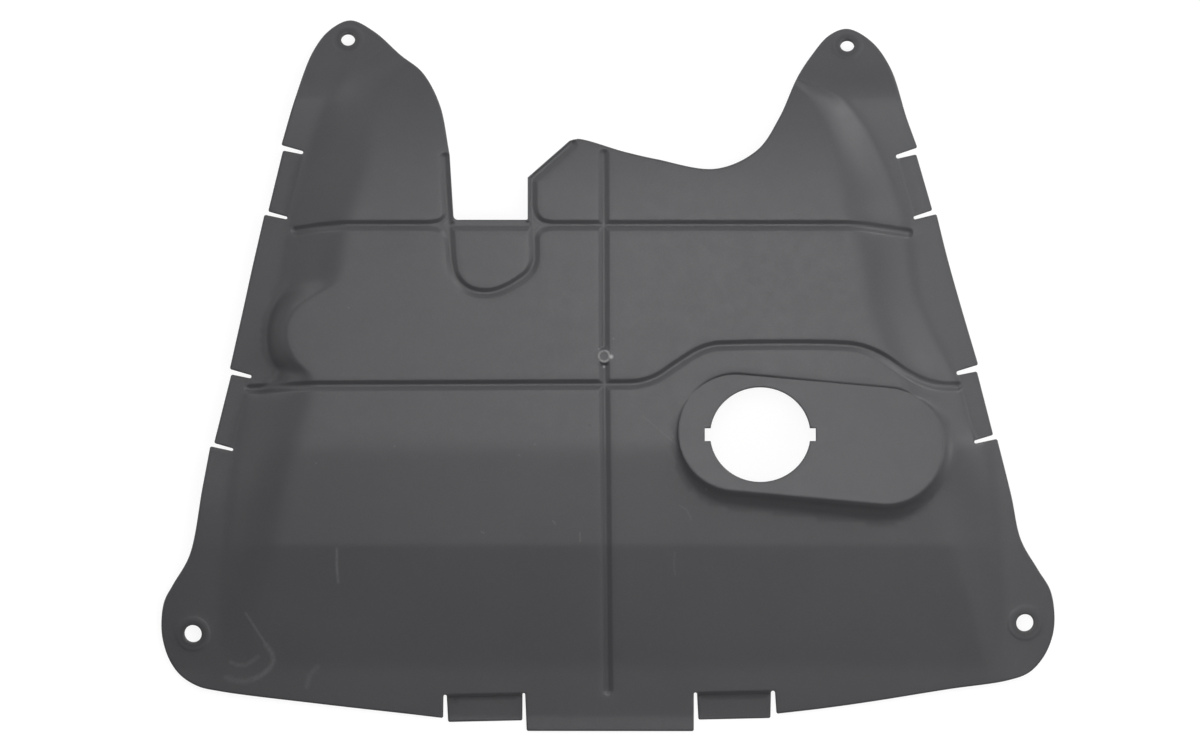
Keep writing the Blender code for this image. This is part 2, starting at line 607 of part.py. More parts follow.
def triangulate(loops, lines, points):
    """Delaunay triangles over the points that keep every loop and line as edges."""
    coords, edges = list(points), []
    for chain, is_loop in [(loop, True) for loop in loops] + [(line, False) for line in lines]:
        first = len(coords)
        coords += chain
        edges += [(first + i, first + i + 1) for i in range(len(chain) - 1)]
        if is_loop:
            edges.append((first + len(chain) - 1, first))
    result = delaunay_2d_cdt(coords, edges, [], 0, 1e-6)
    return result[0], result[2]


def merged_outlines(bands):
    """Outlines of the area that the bands cover together, without short edges."""
    coords, triangles = triangulate(bands, [], [])
    centres = np.array([tuple(sum((coords[i] for i in t), Vector((0, 0))) / 3) for t in triangles])
    covered = np.zeros(len(triangles), dtype=bool)
    for outline in bands:
        covered |= inside(centres, outline)
    sides = set()
    for triangle, keep in zip(triangles, covered):
        if keep:
            sides.update(zip(triangle, [*triangle[1:], triangle[0]]))
    border = {}
    for a, b in sorted(sides):
        if (b, a) not in sides:
            border.setdefault(a, []).append(b)
    outlines = []
    while border:
        start = next(iter(border))
        chain, at = [start], start
        while True:
            at_next = border[at].pop()
            if not border[at]:
                del border[at]
            at = at_next
            if at == start:
                break
            chain.append(at)
        outlines.append(thinned([coords[i] for i in chain]))
    return [outline for outline in outlines if len(outline) > 3]


def thinned(loop):
    """The loop without its short edges: of the two ends, the one where the loop turns less goes."""
    loop = list(loop)
    while len(loop) > 4:
        lengths = [(loop[i] - loop[i - 1]).length for i in range(len(loop))]
        at = lengths.index(min(lengths))
        if lengths[at] >= SHORTEST_EDGE:
            break
        turns = []
        for i in (at - 1, at):
            onward = loop[(i + 1) % len(loop)] - loop[i]
            turns.append(abs((loop[i] - loop[i - 1]).angle_signed(onward, 0.0)))
        del loop[at - 1 if turns[0] < turns[1] else at]
    return loop


def cleared(lines, cutters, bridged):
    """The lines cut off inside the cutters, and carried straight over what they bridge."""
    runs = []
    for line in lines:
        points = np.array([tuple(p) for p in line])
        near = distance_to_lines(points, [closed(loop) for loop in bridged]) < SHORTEST_EDGE
        cut = np.zeros(len(points), dtype=bool)
        for loop in bridged:
            near |= inside(points, loop)
        for loop in cutters:
            cut |= inside(points, loop)
        run = []
        for point, is_near, is_cut in zip(line, near, cut):
            if is_cut:
                runs.append(run)
                run = []
            elif not is_near:
                run.append(point)
        runs.append(run)
    return [run for run in runs if len(run) > 1]


def fold_lines(outline):
    """Straight folds across the whole panel, the lines of the side ramps, and the tabs' hinges."""
    left = min(p.x for p in outline) - WALL
    right = max(p.x for p in outline) + WALL
    heights = belly_stations()[1:] + flange_stations(LEFT_EAR_TIP_Y)[4:-1]
    folds = sorted({y for y, _ in heights} - {rear_groove_y()})
    across = [straight(Vector((left, y)), Vector((right, y)), FIELD_STEP) for y in folds]
    ramps = []
    for y, inner, outer in side_ramps():
        ramps += [[Vector(p) for p in zip(x, y)] for x in (inner, outer)]
    hinges = []
    for hinge, *_ in TABS:
        away = outward(hinge) * TAB_FOLD_RUN
        hinges += [list(hinge), [hinge[0] + away, hinge[1] + away]]
    return across + ramps, hinges


def field_points(outline, chains):
    """An even field of points over the panel that keeps clear of every loop and line."""
    left = min(p.x for p in outline)
    right = max(p.x for p in outline)
    front = min(p.y for p in outline)
    rear = max(p.y for p in outline)
    rows = round((rear - front) / (FIELD_STEP * math.sqrt(3) / 2))
    columns = round((right - left) / FIELD_STEP)
    grid = []
    for row in range(rows + 1):
        shift = FIELD_STEP / 2 * (row % 2)
        y = front + (rear - front) * row / rows
        grid += [(left + shift + (right - left) * column / columns, y) for column in range(columns + 1)]
    grid = np.array(grid)
    free = inside(grid, outline) & (distance_to_lines(grid, chains) > FIELD_STEP / 3)
    return [Vector(tuple(p)) for p in grid[free]]


def pressed_sheet():
    """The road side's skin as vertices at their heights, and the triangles between them."""
    outline = panel_outline()
    fixings = [Fixing(*values) for values in FIXINGS.values()]
    rim = pad_rim()
    foot = pad_foot(rim)
    routes = groove_routes()
    bores = [fixing.circle(fixing.bore / 2) for fixing in fixings]
    openings = [*bores, drain_hole()]
    seats = [loop for fixing in fixings for loop in fixing.loops()]
    grooves = merged_outlines([band(route, GROOVE_WIDTH / 2) for route in routes])
    groove_floors = merged_outlines([band(route, GROOVE_FLOOR / 2) for route in routes])
    folds, hinges = fold_lines(outline)
    lines = cleared(folds, [foot, *seats[1::2]], grooves) + hinges
    loops = [outline, *openings, *seats, rim, foot, *grooves, *groove_floors]
    chains = [closed(loop) for loop in loops] + lines
    coords, triangles = triangulate(loops, lines, field_points(outline, chains))
    corners = np.array([tuple(p) for p in coords])
    centres = corners[np.array(triangles)].mean(axis=1)
    kept = inside(centres, outline)
    for opening in openings:
        kept &= ~inside(centres, opening)
    heights = skin_height(corners, rim, foot, routes, fixings)
    return corners, heights, [t for t, keep in zip(triangles, kept) if keep]


def road_side():
    """The road side's skin as an open sheet that faces up."""
    corners, heights, triangles = pressed_sheet()
    sheet = bmesh.new()
    used = sorted({i for triangle in triangles for i in triangle})
    at = {i: sheet.verts.new((corners[i][0], corners[i][1], heights[i])) for i in used}
    for triangle in triangles:
        sheet.faces.new([at[i] for i in triangle])
    bmesh.ops.recalc_face_normals(sheet, faces=sheet.faces)
    sheet.normal_update()
    if sum(face.normal.z for face in sheet.faces) < 0:
        bmesh.ops.reverse_faces(sheet, faces=sheet.faces)
        sheet.normal_update()
    return sheet


def underside_step(vertex, share):
    """Step from a road side point to the underside: square to the sheet, but upright at its edge."""
    square = -vertex.normal * WALL * min(vertex.calc_shell_factor(), MOST_STRETCH)
    depth = min(square.length_squared / -square.z, MOST_STRETCH * square.length)
    return Vector((0, 0, -depth)).lerp(square, share)


def walled_mesh():
    """The closed solid: both skins, and the sides round every edge and hole."""
    sheet = road_side()
    faces = list(sheet.faces)
    rims = [edge.link_loops[0] for edge in sheet.edges if edge.is_boundary]
    rims = [(loop.vert, loop.link_loop_next.vert) for loop in rims]
    upper = list(sheet.verts)
    plan = np.array([tuple(vertex.co.xy) for vertex in upper])
    shares = np.clip(distance_to_lines(plan, [closed(panel_outline())]) / UPRIGHT_REACH, 0.0, 1.0)
    steps = [underside_step(vertex, float(share)) for vertex, share in zip(upper, shares)]
    under = {vertex: sheet.verts.new(vertex.co + step) for vertex, step in zip(upper, steps)}
    for face in faces:
        sheet.faces.new([under[vertex] for vertex in reversed(face.verts)])
    for start, end in rims:
        sheet.faces.new([end, start, under[start], under[end]])
    mesh = bpy.data.meshes.new("splash_shield")
    sheet.to_mesh(mesh)
    sheet.free()
    return mesh


def moulded_plastic():
    material = bpy.data.materials.new("black_polypropylene")
    material.use_nodes = True
    shader = material.node_tree.nodes["Principled BSDF"]
    shader.inputs["Base Color"].default_value = (0.075, 0.076, 0.078, 1.0)
    shader.inputs["Roughness"].default_value = 0.48
    shader.inputs["Metallic"].default_value = 0.0
    return material


def main():
    """Set the panel down on the bench with its middle over the origin."""
    for item in list(bpy.data.objects):
        bpy.data.objects.remove(item, do_unlink=True)
    shield = bpy.data.objects.new("splash_shield", walled_mesh())
    bpy.context.scene.collection.objects.link(shield)
    shield.data.materials.append(moulded_plastic())
    places = np.array([tuple(vertex.co) for vertex in shield.data.vertices])
    low, high = places.min(axis=0), places.max(axis=0)
    shield.location = (-(low[0] + high[0]) / 2, -(low[1] + high[1]) / 2, -low[2])


main()
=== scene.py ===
# %% [markdown]
# # An engine splash shield in black moulded plastic
# The real object is one thin sheet of polypropylene that closes the bay below a car's engine. It is
# moulded in one piece: grooves stiffen it, a raised pad surrounds the drain, and its ears and corners
# have seats for screws. This script loads the CAD frame of the part, puts a finely meshed skin in its
# place, and gives it the satin finish, the scuffs and the light of a studio photograph.

# %% Read the CAD frame
import math

import bmesh
import bpy
import numpy as np
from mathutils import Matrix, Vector
from mathutils.geometry import delaunay_2d_cdt
from mathutils.kdtree import KDTree


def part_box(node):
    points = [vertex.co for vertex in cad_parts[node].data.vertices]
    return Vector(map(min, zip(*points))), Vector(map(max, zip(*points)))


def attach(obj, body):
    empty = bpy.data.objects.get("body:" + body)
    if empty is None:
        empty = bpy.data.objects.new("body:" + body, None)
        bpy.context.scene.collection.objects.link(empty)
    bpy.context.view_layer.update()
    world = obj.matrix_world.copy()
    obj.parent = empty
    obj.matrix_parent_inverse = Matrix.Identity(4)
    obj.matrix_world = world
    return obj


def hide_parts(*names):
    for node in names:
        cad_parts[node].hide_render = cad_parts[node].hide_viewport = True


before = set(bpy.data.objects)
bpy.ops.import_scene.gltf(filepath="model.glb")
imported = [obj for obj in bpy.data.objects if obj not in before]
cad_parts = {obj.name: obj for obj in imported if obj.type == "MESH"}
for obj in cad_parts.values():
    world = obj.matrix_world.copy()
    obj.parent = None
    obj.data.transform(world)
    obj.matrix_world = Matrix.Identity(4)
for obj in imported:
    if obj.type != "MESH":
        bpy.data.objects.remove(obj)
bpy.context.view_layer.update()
MM = 0.001
print("CAD nodes:", sorted(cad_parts))

# %% [markdown]
# ## Curves through a few points
# A mould maker draws such a panel with a few points and lets a spline run through them. Blender's
# curve objects could do that, but the outline has to become one edge loop that also goes in and out
# of every slit. So a small function walks along a centripetal Catmull-Rom curve, which never
# overshoots at a corner, and returns points about three millimetres apart.

# %% Curves, straight lines and arcs
CURVE_STEP = 3.0
ROUND_END_PIECES = 8


def points(*pairs):
    """Plan points in millimetres."""
    return [Vector(pair) for pair in pairs]


def spline_point(before, start, end, after, share):
    """Point on the curve from start to end, at this share of the way."""
    knots = [0.0]
    for first, second in ((before, start), (start, end), (end, after)):
        knots.append(knots[-1] + math.sqrt((second - first).length))
    at = knots[1] + share * (knots[2] - knots[1])

    def blend(near, far, low, high):
        """Point between two points, as far along as the curve is between two knots."""
        return near.lerp(far, (at - knots[low]) / (knots[high] - knots[low]))

    first = blend(before, start, 0, 1)
    middle = blend(start, end, 1, 2)
    last = blend(end, after, 2, 3)
    return blend(blend(first, middle, 0, 2), blend(middle, last, 1, 3), 1, 2)


def curve(keys, step=CURVE_STEP):
    """Points one step apart along the smooth curve through the keys."""
    ends = [keys[0] * 2 - keys[1], *keys, keys[-1] * 2 - keys[-2]]
    result = []
    for before, start, end, after in zip(ends, ends[1:], ends[2:], ends[3:]):
        pieces = max(1, round((end - start).length / step))
        result += [spline_point(before, start, end, after, i / pieces) for i in range(pieces)]
    return [*result, keys[-1]]


def straight(start, end, step=CURVE_STEP):
    """Points one step apart along a straight line."""
    pieces = max(1, round((end - start).length / step))
    return [start.lerp(end, i / pieces) for i in range(pieces + 1)]


def arc_turns(start, angle, pieces):
    """Angles in equal steps from the start through the angle, with both ends."""
    return [start + angle * i / pieces for i in range(pieces + 1)]


def divided(loop, step=CURVE_STEP):
    """The closed loop with its long sides cut into steps."""
    result = []
    for start, end in zip(loop, [*loop[1:], loop[0]]):
        result += straight(start, end, step)[:-1]
    return result


# %% [markdown]
# ## Edge of the panel
# The edge runs round two ears at the rear, a square notch beside the left ear, swept front corners
# and a straight lip. Six tabs are cut free by pairs of slits, which are a little narrower at their
# round inner ends. One could punch the slits out with Booleans, but then the mesh would have no edge
# that follows them. So each tab is a short path of its own, and the paths are strung together with the
# curves between them. The plan has X across the car and Y towards its rear, as the CAD model has.

# %% Slits and tabs
NARROW_SLIT = 2.8
PLAIN_SLIT = 3.4
WIDE_SLIT = 4.3
SLIT_TAPER = 0.2
SLIT_DEPTH = 19.6
TAB_CORNER_RADIUS = 1.6
FRONT_TAB_REACH = 23.3
SIDE_TAB_REACH = 17.2

LEFT_REAR_HINGE = points((-273.0, 133.5), (-259.5, 189.0))
RIGHT_REAR_HINGE = points((244.5, 185.5), (259.5, 133.5))
RIGHT_MIDDLE_HINGE = points((296.0, 1.5), (311.0, -57.0))
FRONT_RIGHT_HINGE = points((140.0, -268.5), (74.0, -270.0))
FRONT_LEFT_HINGE = points((-72.0, -270.5), (-139.0, -272.0))
LEFT_MIDDLE_HINGE = points((-319.0, -63.5), (-303.5, -1.5))

# %% Points of the edge between the tabs
LEFT_EAR_EDGE = points(
    (-266.3, 235.5), (-251.0, 276.0), (-236.8, 294.1), (-219.5, 302.1), (-199.1, 292.3),
    (-176.6, 272.2), (-158.1, 257.4), (-143.3, 229.9), (-134.8, 187.1))
REAR_EDGE = points(
    (-26.0, 200.8), (13.6, 189.8), (40.6, 183.6), (91.5, 175.4), (126.3, 191.2), (145.1, 218.8),
    (160.6, 253.2), (173.0, 272.3), (187.8, 289.2), (203.5, 294.9), (223.9, 283.9), (240.0, 261.0),
    (253.4, 219.0))
SHOULDER_TIP = Vector((-33.2, 199.0))
RIGHT_SIDE_EDGE = points((288.3, 99.2), (300.5, 55.9))
RIGHT_CORNER_EDGE = points(
    (342.6, -102.6), (350.7, -139.7), (365.3, -165.2), (376.0, -183.0), (379.6, -205.0),
    (377.9, -221.9), (370.5, -239.5), (357.9, -253.1), (339.9, -259.7), (289.5, -267.2),
    (221.6, -278.1), (179.2, -284.0))
LEFT_CORNER_EDGE = points(
    (-165.5, -288.9), (-247.2, -279.6), (-330.8, -269.0), (-349.7, -264.6), (-364.3, -255.3),
    (-373.5, -242.6), (-379.2, -225.5), (-380.4, -209.5), (-377.8, -192.0), (-370.5, -178.2),
    (-356.2, -152.9), (-345.2, -95.7))
LEFT_SIDE_EDGE = points((-310.5, 56.3), (-303.4, 88.9))

NOTCH_FLOOR_Y = 132.0
NOTCH_LEFT_X = -131.4
NOTCH_RIGHT_X = -68.6
NOTCH_SHOULDER_Y = 167.9
NOTCH_CORNER_RADIUS = 3.5
LIP_EDGE_Y = -302.9

# %% The path round one tab


def outward(hinge):
    """Unit vector from a tab's hinge towards the panel's edge."""
    along = (hinge[1] - hinge[0]).normalized()
    return Vector((-along.y, along.x))


def rounded(before, corner, after, radius, pieces=4):
    """A corner replaced by an arc of this radius."""
    to_before = (before - corner).normalized()
    to_after = (after - corner).normalized()
    half_angle = to_before.angle(to_after) / 2
    middle = corner + (to_before + to_after).normalized() * radius / math.sin(half_angle)
    start = corner + to_before * radius / math.tan(half_angle) - middle
    end = corner + to_after * radius / math.tan(half_angle) - middle
    arc = [start.lerp(end, i / pieces).normalized() * radius for i in range(pieces + 1)]
    return [middle + spoke for spoke in arc]


def slit_path(end, side, width, depth, reach):
    """Edge points down one slit and back: panel corner, round inner end, tab corner."""
    towards_tab, away = side
    mouth, nose = width * (1 + SLIT_TAPER) / 2, width * (1 - SLIT_TAPER) / 2
    panel_corner = end - towards_tab * mouth + away * depth
    tab_corner = end + towards_tab * mouth + away * reach
    middle = end + away * nose
    turns = arc_turns(0.0, math.pi, ROUND_END_PIECES)
    arc = [middle - (towards_tab * math.cos(turn) + away * math.sin(turn)) * nose for turn in turns]
    return [
        *rounded(panel_corner - towards_tab, panel_corner, arc[0], TAB_CORNER_RADIUS),
        *arc,
        *rounded(arc[-1], tab_corner, tab_corner + towards_tab, TAB_CORNER_RADIUS),
    ]


def tab_path(hinge, reach, first, second):
    """Edge points round a tab, from the panel's edge before it to the panel's edge after it."""
    along = (hinge[1] - hinge[0]).normalized()
    into = slit_path(hinge[0], (along, outward(hinge)), *first, reach)
    back = slit_path(hinge[1], (-along, outward(hinge)), *second, reach)
    return [*into, *reversed(back)]


# %% The whole edge
# Each tab: its hinge, its reach, and the width and depth of its first slit and of its second
TABS = [
    (LEFT_REAR_HINGE, SIDE_TAB_REACH, (NARROW_SLIT, SLIT_DEPTH), (PLAIN_SLIT, SLIT_DEPTH)),
    (RIGHT_REAR_HINGE, SIDE_TAB_REACH, (WIDE_SLIT, SLIT_DEPTH), (PLAIN_SLIT, SLIT_DEPTH)),
    (RIGHT_MIDDLE_HINGE, SIDE_TAB_REACH, (WIDE_SLIT, SLIT_DEPTH), (PLAIN_SLIT, SLIT_DEPTH)),
    (FRONT_RIGHT_HINGE, FRONT_TAB_REACH, (WIDE_SLIT, SLIT_DEPTH),
     (PLAIN_SLIT, FRONT_RIGHT_HINGE[1].y - LIP_EDGE_Y)),
    (FRONT_LEFT_HINGE, FRONT_TAB_REACH, (NARROW_SLIT, FRONT_LEFT_HINGE[0].y - LIP_EDGE_Y),
     (PLAIN_SLIT, SLIT_DEPTH)),
    (LEFT_MIDDLE_HINGE, SIDE_TAB_REACH, (NARROW_SLIT, SLIT_DEPTH), (PLAIN_SLIT, SLIT_DEPTH)),
]


def panel_outline():
    """The panel's edge, clockwise from the left rear tab, in and out of every slit."""
    left_rear, right_rear, right_middle, front_right, front_left, left_middle = [
        tab_path(*tab) for tab in TABS]
    floor_left = Vector((NOTCH_LEFT_X, NOTCH_FLOOR_Y))
    floor_right = Vector((NOTCH_RIGHT_X, NOTCH_FLOOR_Y))
    shoulder = Vector((NOTCH_RIGHT_X, NOTCH_SHOULDER_Y))
    return divided([
        *left_rear,
        *curve([left_rear[-1], *LEFT_EAR_EDGE])[1:],
        *rounded(LEFT_EAR_EDGE[-1], floor_left, floor_right, NOTCH_CORNER_RADIUS),
        *rounded(floor_left, floor_right, shoulder, NOTCH_CORNER_RADIUS / 3),
        shoulder,
        *curve([SHOULDER_TIP, *REAR_EDGE, right_rear[0]])[:-1],
        *right_rear,
        *curve([right_rear[-1], *RIGHT_SIDE_EDGE, right_middle[0]])[1:-1],
        *right_middle,
        *curve([right_middle[-1], *RIGHT_CORNER_EDGE, front_right[0]])[1:-1],
        *front_right,
        *front_left,
        *curve([front_left[-1], *LEFT_CORNER_EDGE, left_middle[0]])[1:-1],
        *left_middle,
        *curve([left_middle[-1], *LEFT_SIDE_EDGE, left_rear[0]])[1:-1],
    ])


outline = panel_outline()
print("edge points:", len(outline), "tabs:", len(TABS))

# %% [markdown]
# ## Height of the belly and the flanges
# Seen from the side, the middle of the panel is level and then falls to the front in three straight
# stretches and a lip, with a small radius at each fold. Behind the rear groove it bows down. A
# profile curve could be extruded for this, but the side ramps and the ears need the same heights. So
# the die is a function: a sum of hinges, each of which changes the slope at one line and is rounded
# over its own radius.

# %% Heights of the folds
BELLY_HEIGHT = 48.0
FIRST_FOLD_Y = -61.0
SECOND_FOLD_Y = -144.5
THIRD_FOLD_Y = -248.5
LIP_FOLD_Y = -290.5
FIRST_FALL = math.radians(7.5)
SECOND_FALL = math.radians(13.0)
THIRD_FALL = math.radians(9.5)
LIP_FALL = math.radians(3.0)
LIP_FOLD_RADIUS = 2.0
THIRD_FOLD_RADIUS = 5.0
SECOND_FOLD_RADIUS = 2.5
FIRST_FOLD_RADIUS = 9.0
# Each point of a bow: how far to the rear it lies, and how far the panel has dropped there
REAR_BOW = [(166.0, 1.2), (199.5, 4.5), (235.0, 11.0), (262.0, 19.5)]
REAR_BOW_RADII = [20.0, 15.0, 15.0, 13.0]
FLANGE_HEIGHT = 29.0
FLANGE_BEND_Y = -100.0
FLANGE_SECOND_FOLD_HEIGHT = 25.5
FLANGE_THIRD_FOLD_HEIGHT = 12.0
FLANGE_FOLD_RADII = [5.0, 12.0]
EAR_BOW = [(235.0, 0.0), (249.0, 2.8), (262.0, 8.0)]
EAR_BOW_RADII = [5.0, 6.0, 6.0]
LEFT_EAR_TIP_Y = 302.1
RIGHT_EAR_TIP_Y = 294.9
FRONT_TAB_STEP = 3.0
REAR_GROOVE_Y = 127.4

# %% Straight stretches with rounded folds


def hinge_run(distance, radius):
    """Zero before a hinge and the distance after it, rounded over the radius on both sides."""
    rounded_part = (distance + radius) ** 2 / (4 * radius)
    return np.where(distance < -radius, 0.0, np.where(distance > radius, distance, rounded_part))


def soft_share(share, radius):
    """A share that runs from zero to one, with both corners rounded over this radius."""
    return hinge_run(share, radius) - hinge_run(share - 1.0, radius)


def rounded_share(share, radius):
    """A share already held between zero and one, with both corners rounded inside those ends."""
    return soft_share(share * (1 + 2 * radius) - radius, radius)


def folded(stations, radii, y):
    """Height on straight stretches between stations of (y, height), rounded at each fold."""
    at = np.array([station[0] for station in stations])
    height = np.array([station[1] for station in stations])
    slopes = np.diff(height) / np.diff(at)
    result = height[0] + slopes[0] * (y - at[0])
    for fold, radius, before, after in zip(at[1:-1], radii, slopes, slopes[1:]):
        result = result + (after - before) * hinge_run(y - fold, radius)
    return result


# %% Stations of the belly and the flanges
second = BELLY_HEIGHT - (FIRST_FOLD_Y - SECOND_FOLD_Y) * math.tan(FIRST_FALL)
third = second - (SECOND_FOLD_Y - THIRD_FOLD_Y) * math.tan(SECOND_FALL)
lip = third - (THIRD_FOLD_Y - LIP_FOLD_Y) * math.tan(THIRD_FALL)
lip_edge = lip - (LIP_FOLD_Y - LIP_EDGE_Y) * math.tan(LIP_FALL)
belly_stations = [
    (LIP_EDGE_Y, lip_edge), (LIP_FOLD_Y, lip), (THIRD_FOLD_Y, third), (SECOND_FOLD_Y, second),
    (FIRST_FOLD_Y, BELLY_HEIGHT), (REAR_GROOVE_Y, BELLY_HEIGHT),
    *[(y, BELLY_HEIGHT - drop) for y, drop in REAR_BOW]]
belly_radii = [
    LIP_FOLD_RADIUS, THIRD_FOLD_RADIUS, SECOND_FOLD_RADIUS, FIRST_FOLD_RADIUS, *REAR_BOW_RADII]
front_tab_y = FRONT_LEFT_HINGE[1].y - FRONT_TAB_REACH
ear_tip_height = np.interp(front_tab_y, [LIP_EDGE_Y, LIP_FOLD_Y], [lip_edge, lip]) - FRONT_TAB_STEP
flange_stations = [
    *belly_stations[:2], (THIRD_FOLD_Y, FLANGE_THIRD_FOLD_HEIGHT),
    (SECOND_FOLD_Y, FLANGE_SECOND_FOLD_HEIGHT), (FLANGE_BEND_Y, FLANGE_HEIGHT),
    *[(y, FLANGE_HEIGHT - drop) for y, drop in EAR_BOW]]
flange_radii = [LIP_FOLD_RADIUS, THIRD_FOLD_RADIUS, *FLANGE_FOLD_RADII, *EAR_BOW_RADII]
print("belly at its folds:", [round(height, 1) for _, height in belly_stations])

# %% [markdown]
# ## Side ramps
# Between the raised belly and the flanges lie ramps of changing width, with a tight hook on the left.
# Each ramp is drawn as its upper line and its lower line. It leaves the belly gently, steepens on the
# way down and ends in a tight bend: an S-shaped ramp would have no line where the flange begins. The
# flanges themselves lean outwards by a few degrees, a little more at the front corners, and are level
# across at the tips of the rear ears and along the front lip.

# %% Upper and lower line of each ramp
LEFT_RAMP_INNER = points(
    (-143.5, 285.5), (-180.0, 256.5), (-193.0, 241.5), (-199.5, 219.0), (-204.0, 183.5),
    (-221.0, 129.5), (-226.0, 102.5), (-231.5, 80.0), (-247.0, 70.0), (-263.0, 60.0), (-272.5, 45.5),
    (-274.0, 32.5), (-267.0, 14.0), (-252.5, -1.5), (-253.0, -21.0), (-260.0, -46.5), (-269.5, -81.0),
    (-282.5, -146.5), (-295.0, -191.5), (-305.5, -248.5), (-309.0, -276.5))
LEFT_RAMP_OUTER = points(
    (-152.0, 302.5), (-190.5, 277.0), (-211.5, 263.5), (-225.5, 249.0), (-239.0, 227.5),
    (-250.0, 189.5), (-263.5, 146.0), (-270.5, 106.5), (-275.5, 77.0), (-287.5, 51.5), (-290.5, 35.0),
    (-289.5, 21.5), (-286.0, 12.0), (-281.0, 3.0), (-290.0, -8.0), (-303.5, -21.0), (-309.5, -46.5),
    (-318.0, -89.5), (-324.0, -140.5), (-329.0, -191.5), (-329.0, -276.5))
RIGHT_RAMP_INNER = points(
    (133.5, 268.5), (162.5, 244.0), (176.0, 227.5), (187.0, 205.5), (195.0, 178.0), (198.0, 146.0),
    (211.0, 113.5), (219.5, 61.5), (231.5, 28.5), (248.5, 0.0), (261.0, -30.0), (270.0, -64.0),
    (278.0, -106.0), (291.0, -144.5), (306.0, -191.5), (319.0, -248.5), (325.0, -276.5))
RIGHT_RAMP_OUTER = points(
    (133.5, 268.6), (162.5, 251.5), (197.5, 235.5), (217.0, 211.5), (233.0, 178.0), (244.0, 151.0),
    (252.0, 129.5), (262.0, 64.0), (278.5, 25.5), (295.0, -6.0), (308.5, -46.5), (320.0, -62.0),
    (327.0, -89.5), (332.0, -140.5), (336.0, -191.5), (336.0, -276.5))
RAMPS = ((LEFT_RAMP_INNER, LEFT_RAMP_OUTER, -1), (RIGHT_RAMP_INNER, RIGHT_RAMP_OUTER, 1))

# %% The pressed body
RAMP_BEND = 0.12
RAMP_BOW = 0.6
LEAST_RAMP_WIDTH = 0.1
FLANGE_BEND_RADIUS = 6.0
FLANGE_LEAN = math.tan(math.radians(5.0))
# Places from front to rear, and the share of the lean at each
LEAN_PLACES = (-285.0, -250.0, -150.0, -110.0, 190.0, 235.0)
LEAN_SHARES = (0.0, 1.4, 1.4, 1.0, 1.0, 0.0)


def across_at(line, y):
    """The x at which a line crosses each y."""
    keys = sorted((p.y, p.x) for p in line)
    return np.interp(y, [key[0] for key in keys], [key[1] for key in keys])


def pressed_sides(spots):
    """The share of the way from belly to flange, and how far the leaning flange has fallen."""
    share, fall = np.zeros(len(spots)), np.zeros(len(spots))
    for inner, outer, side in RAMPS:
        inner_x, outer_x = [across_at(curve(line), spots[:, 1]) for line in (inner, outer)]
        width = np.maximum(side * (outer_x - inner_x), LEAST_RAMP_WIDTH)
        way = soft_share(side * (spots[:, 0] - inner_x) / width, RAMP_BEND)
        share = np.maximum(share, way * (1 - RAMP_BOW) + way * way * RAMP_BOW)
        fall = fall + FLANGE_LEAN * hinge_run(side * (spots[:, 0] - outer_x), FLANGE_BEND_RADIUS)
    return share, fall * np.interp(spots[:, 1], LEAN_PLACES, LEAN_SHARES)


def body_height(spots):
    """The pressed body without its grooves, seats, tabs and pad."""
    share, fall = pressed_sides(spots)
    belly = folded(belly_stations, belly_radii, spots[:, 1])
    tips = [[*flange_stations, (tip_y, ear_tip_height)] for tip_y in (LEFT_EAR_TIP_Y, RIGHT_EAR_TIP_Y)]
    flange = np.where(spots[:, 0] < 0, *[folded(tip, flange_radii, spots[:, 1]) for tip in tips])
    return belly * (1 - share) + np.minimum(flange, belly) * share - fall


# %% [markdown]
# ## Grooves
# Shallow grooves stiffen the sheet: one across the rear, one across the middle that goes round the
# rear of the drain pad, one lengthways, and one round a patch that can be broken out. Swept tubes
# cut out of it by Booleans would leave ragged edges on so thin a sheet. Here each groove is a line in
# the plan, and the die goes down by its section, so the wall stays whole round every corner.

# %% Lines of the grooves
EDGE_GROOVE_INSET = 3.6
LEFT_LEG_INSET = 4.0
RIGHT_LEG_INSET = 4.7
RIGHT_LEG_BEND = 15.0
JUNCTION_REACHES = (16.0, 8.0)
# Each point of a junction: its share of the reach along the rear groove, its share of the way over
# to the end on the leg, and its share of the reach along the leg
JUNCTION_SHAPE = [(1.0, 0.0, 0.0), (0.4, 0.0, 0.14), (0.08, 0.15, 0.5), (0.0, 1.0, 1.0)]
LEFT_LEG_TOP = points((-139.3, 185.0), (-137.8, 157.0))
REAR_GROOVE_LEFT_END = points((-265.5, 122.5), (-245.5, 125.5))
REAR_GROOVE_RIGHT_END = points((217.0, 126.5), (255.0, 121.0))
REAR_GROOVE_STRAIGHT = points((-224.5, REAR_GROOVE_Y), (203.5, REAR_GROOVE_Y))
FRONT_GROOVE_LEFT_END = points((-305.0, -12.0), (-263.0, -9.5), (-250.0, -9.0))
FRONT_GROOVE_HUMP = points(
    (10.0, -7.8), (25.0, -7.2), (40.5, -2.5), (57.5, 8.5), (75.0, 19.5), (88.0, 24.2), (104.0, 25.4),
    (195.0, 25.4), (213.0, 23.4), (232.0, 16.0), (252.5, 2.5), (269.5, -6.0), (283.5, -9.0),
    (297.0, -9.5))
LONG_GROOVE = points((-4.0, 188.0), (-3.5, 16.5), (-0.5, -268.0))
PATCH_GROOVE = points(
    (-134.2, 106.5), (-133.3, 96.5), (-130.5, 84.5), (-123.5, 75.5), (-115.5, 71.2), (-107.0, 69.7),
    (-97.5, 70.3), (-86.5, 74.2), (-75.2, 80.8), (-67.3, 87.5), (-63.3, 96.0), (-62.8, 105.5))

# %% Routes of the grooves and their rounded junctions


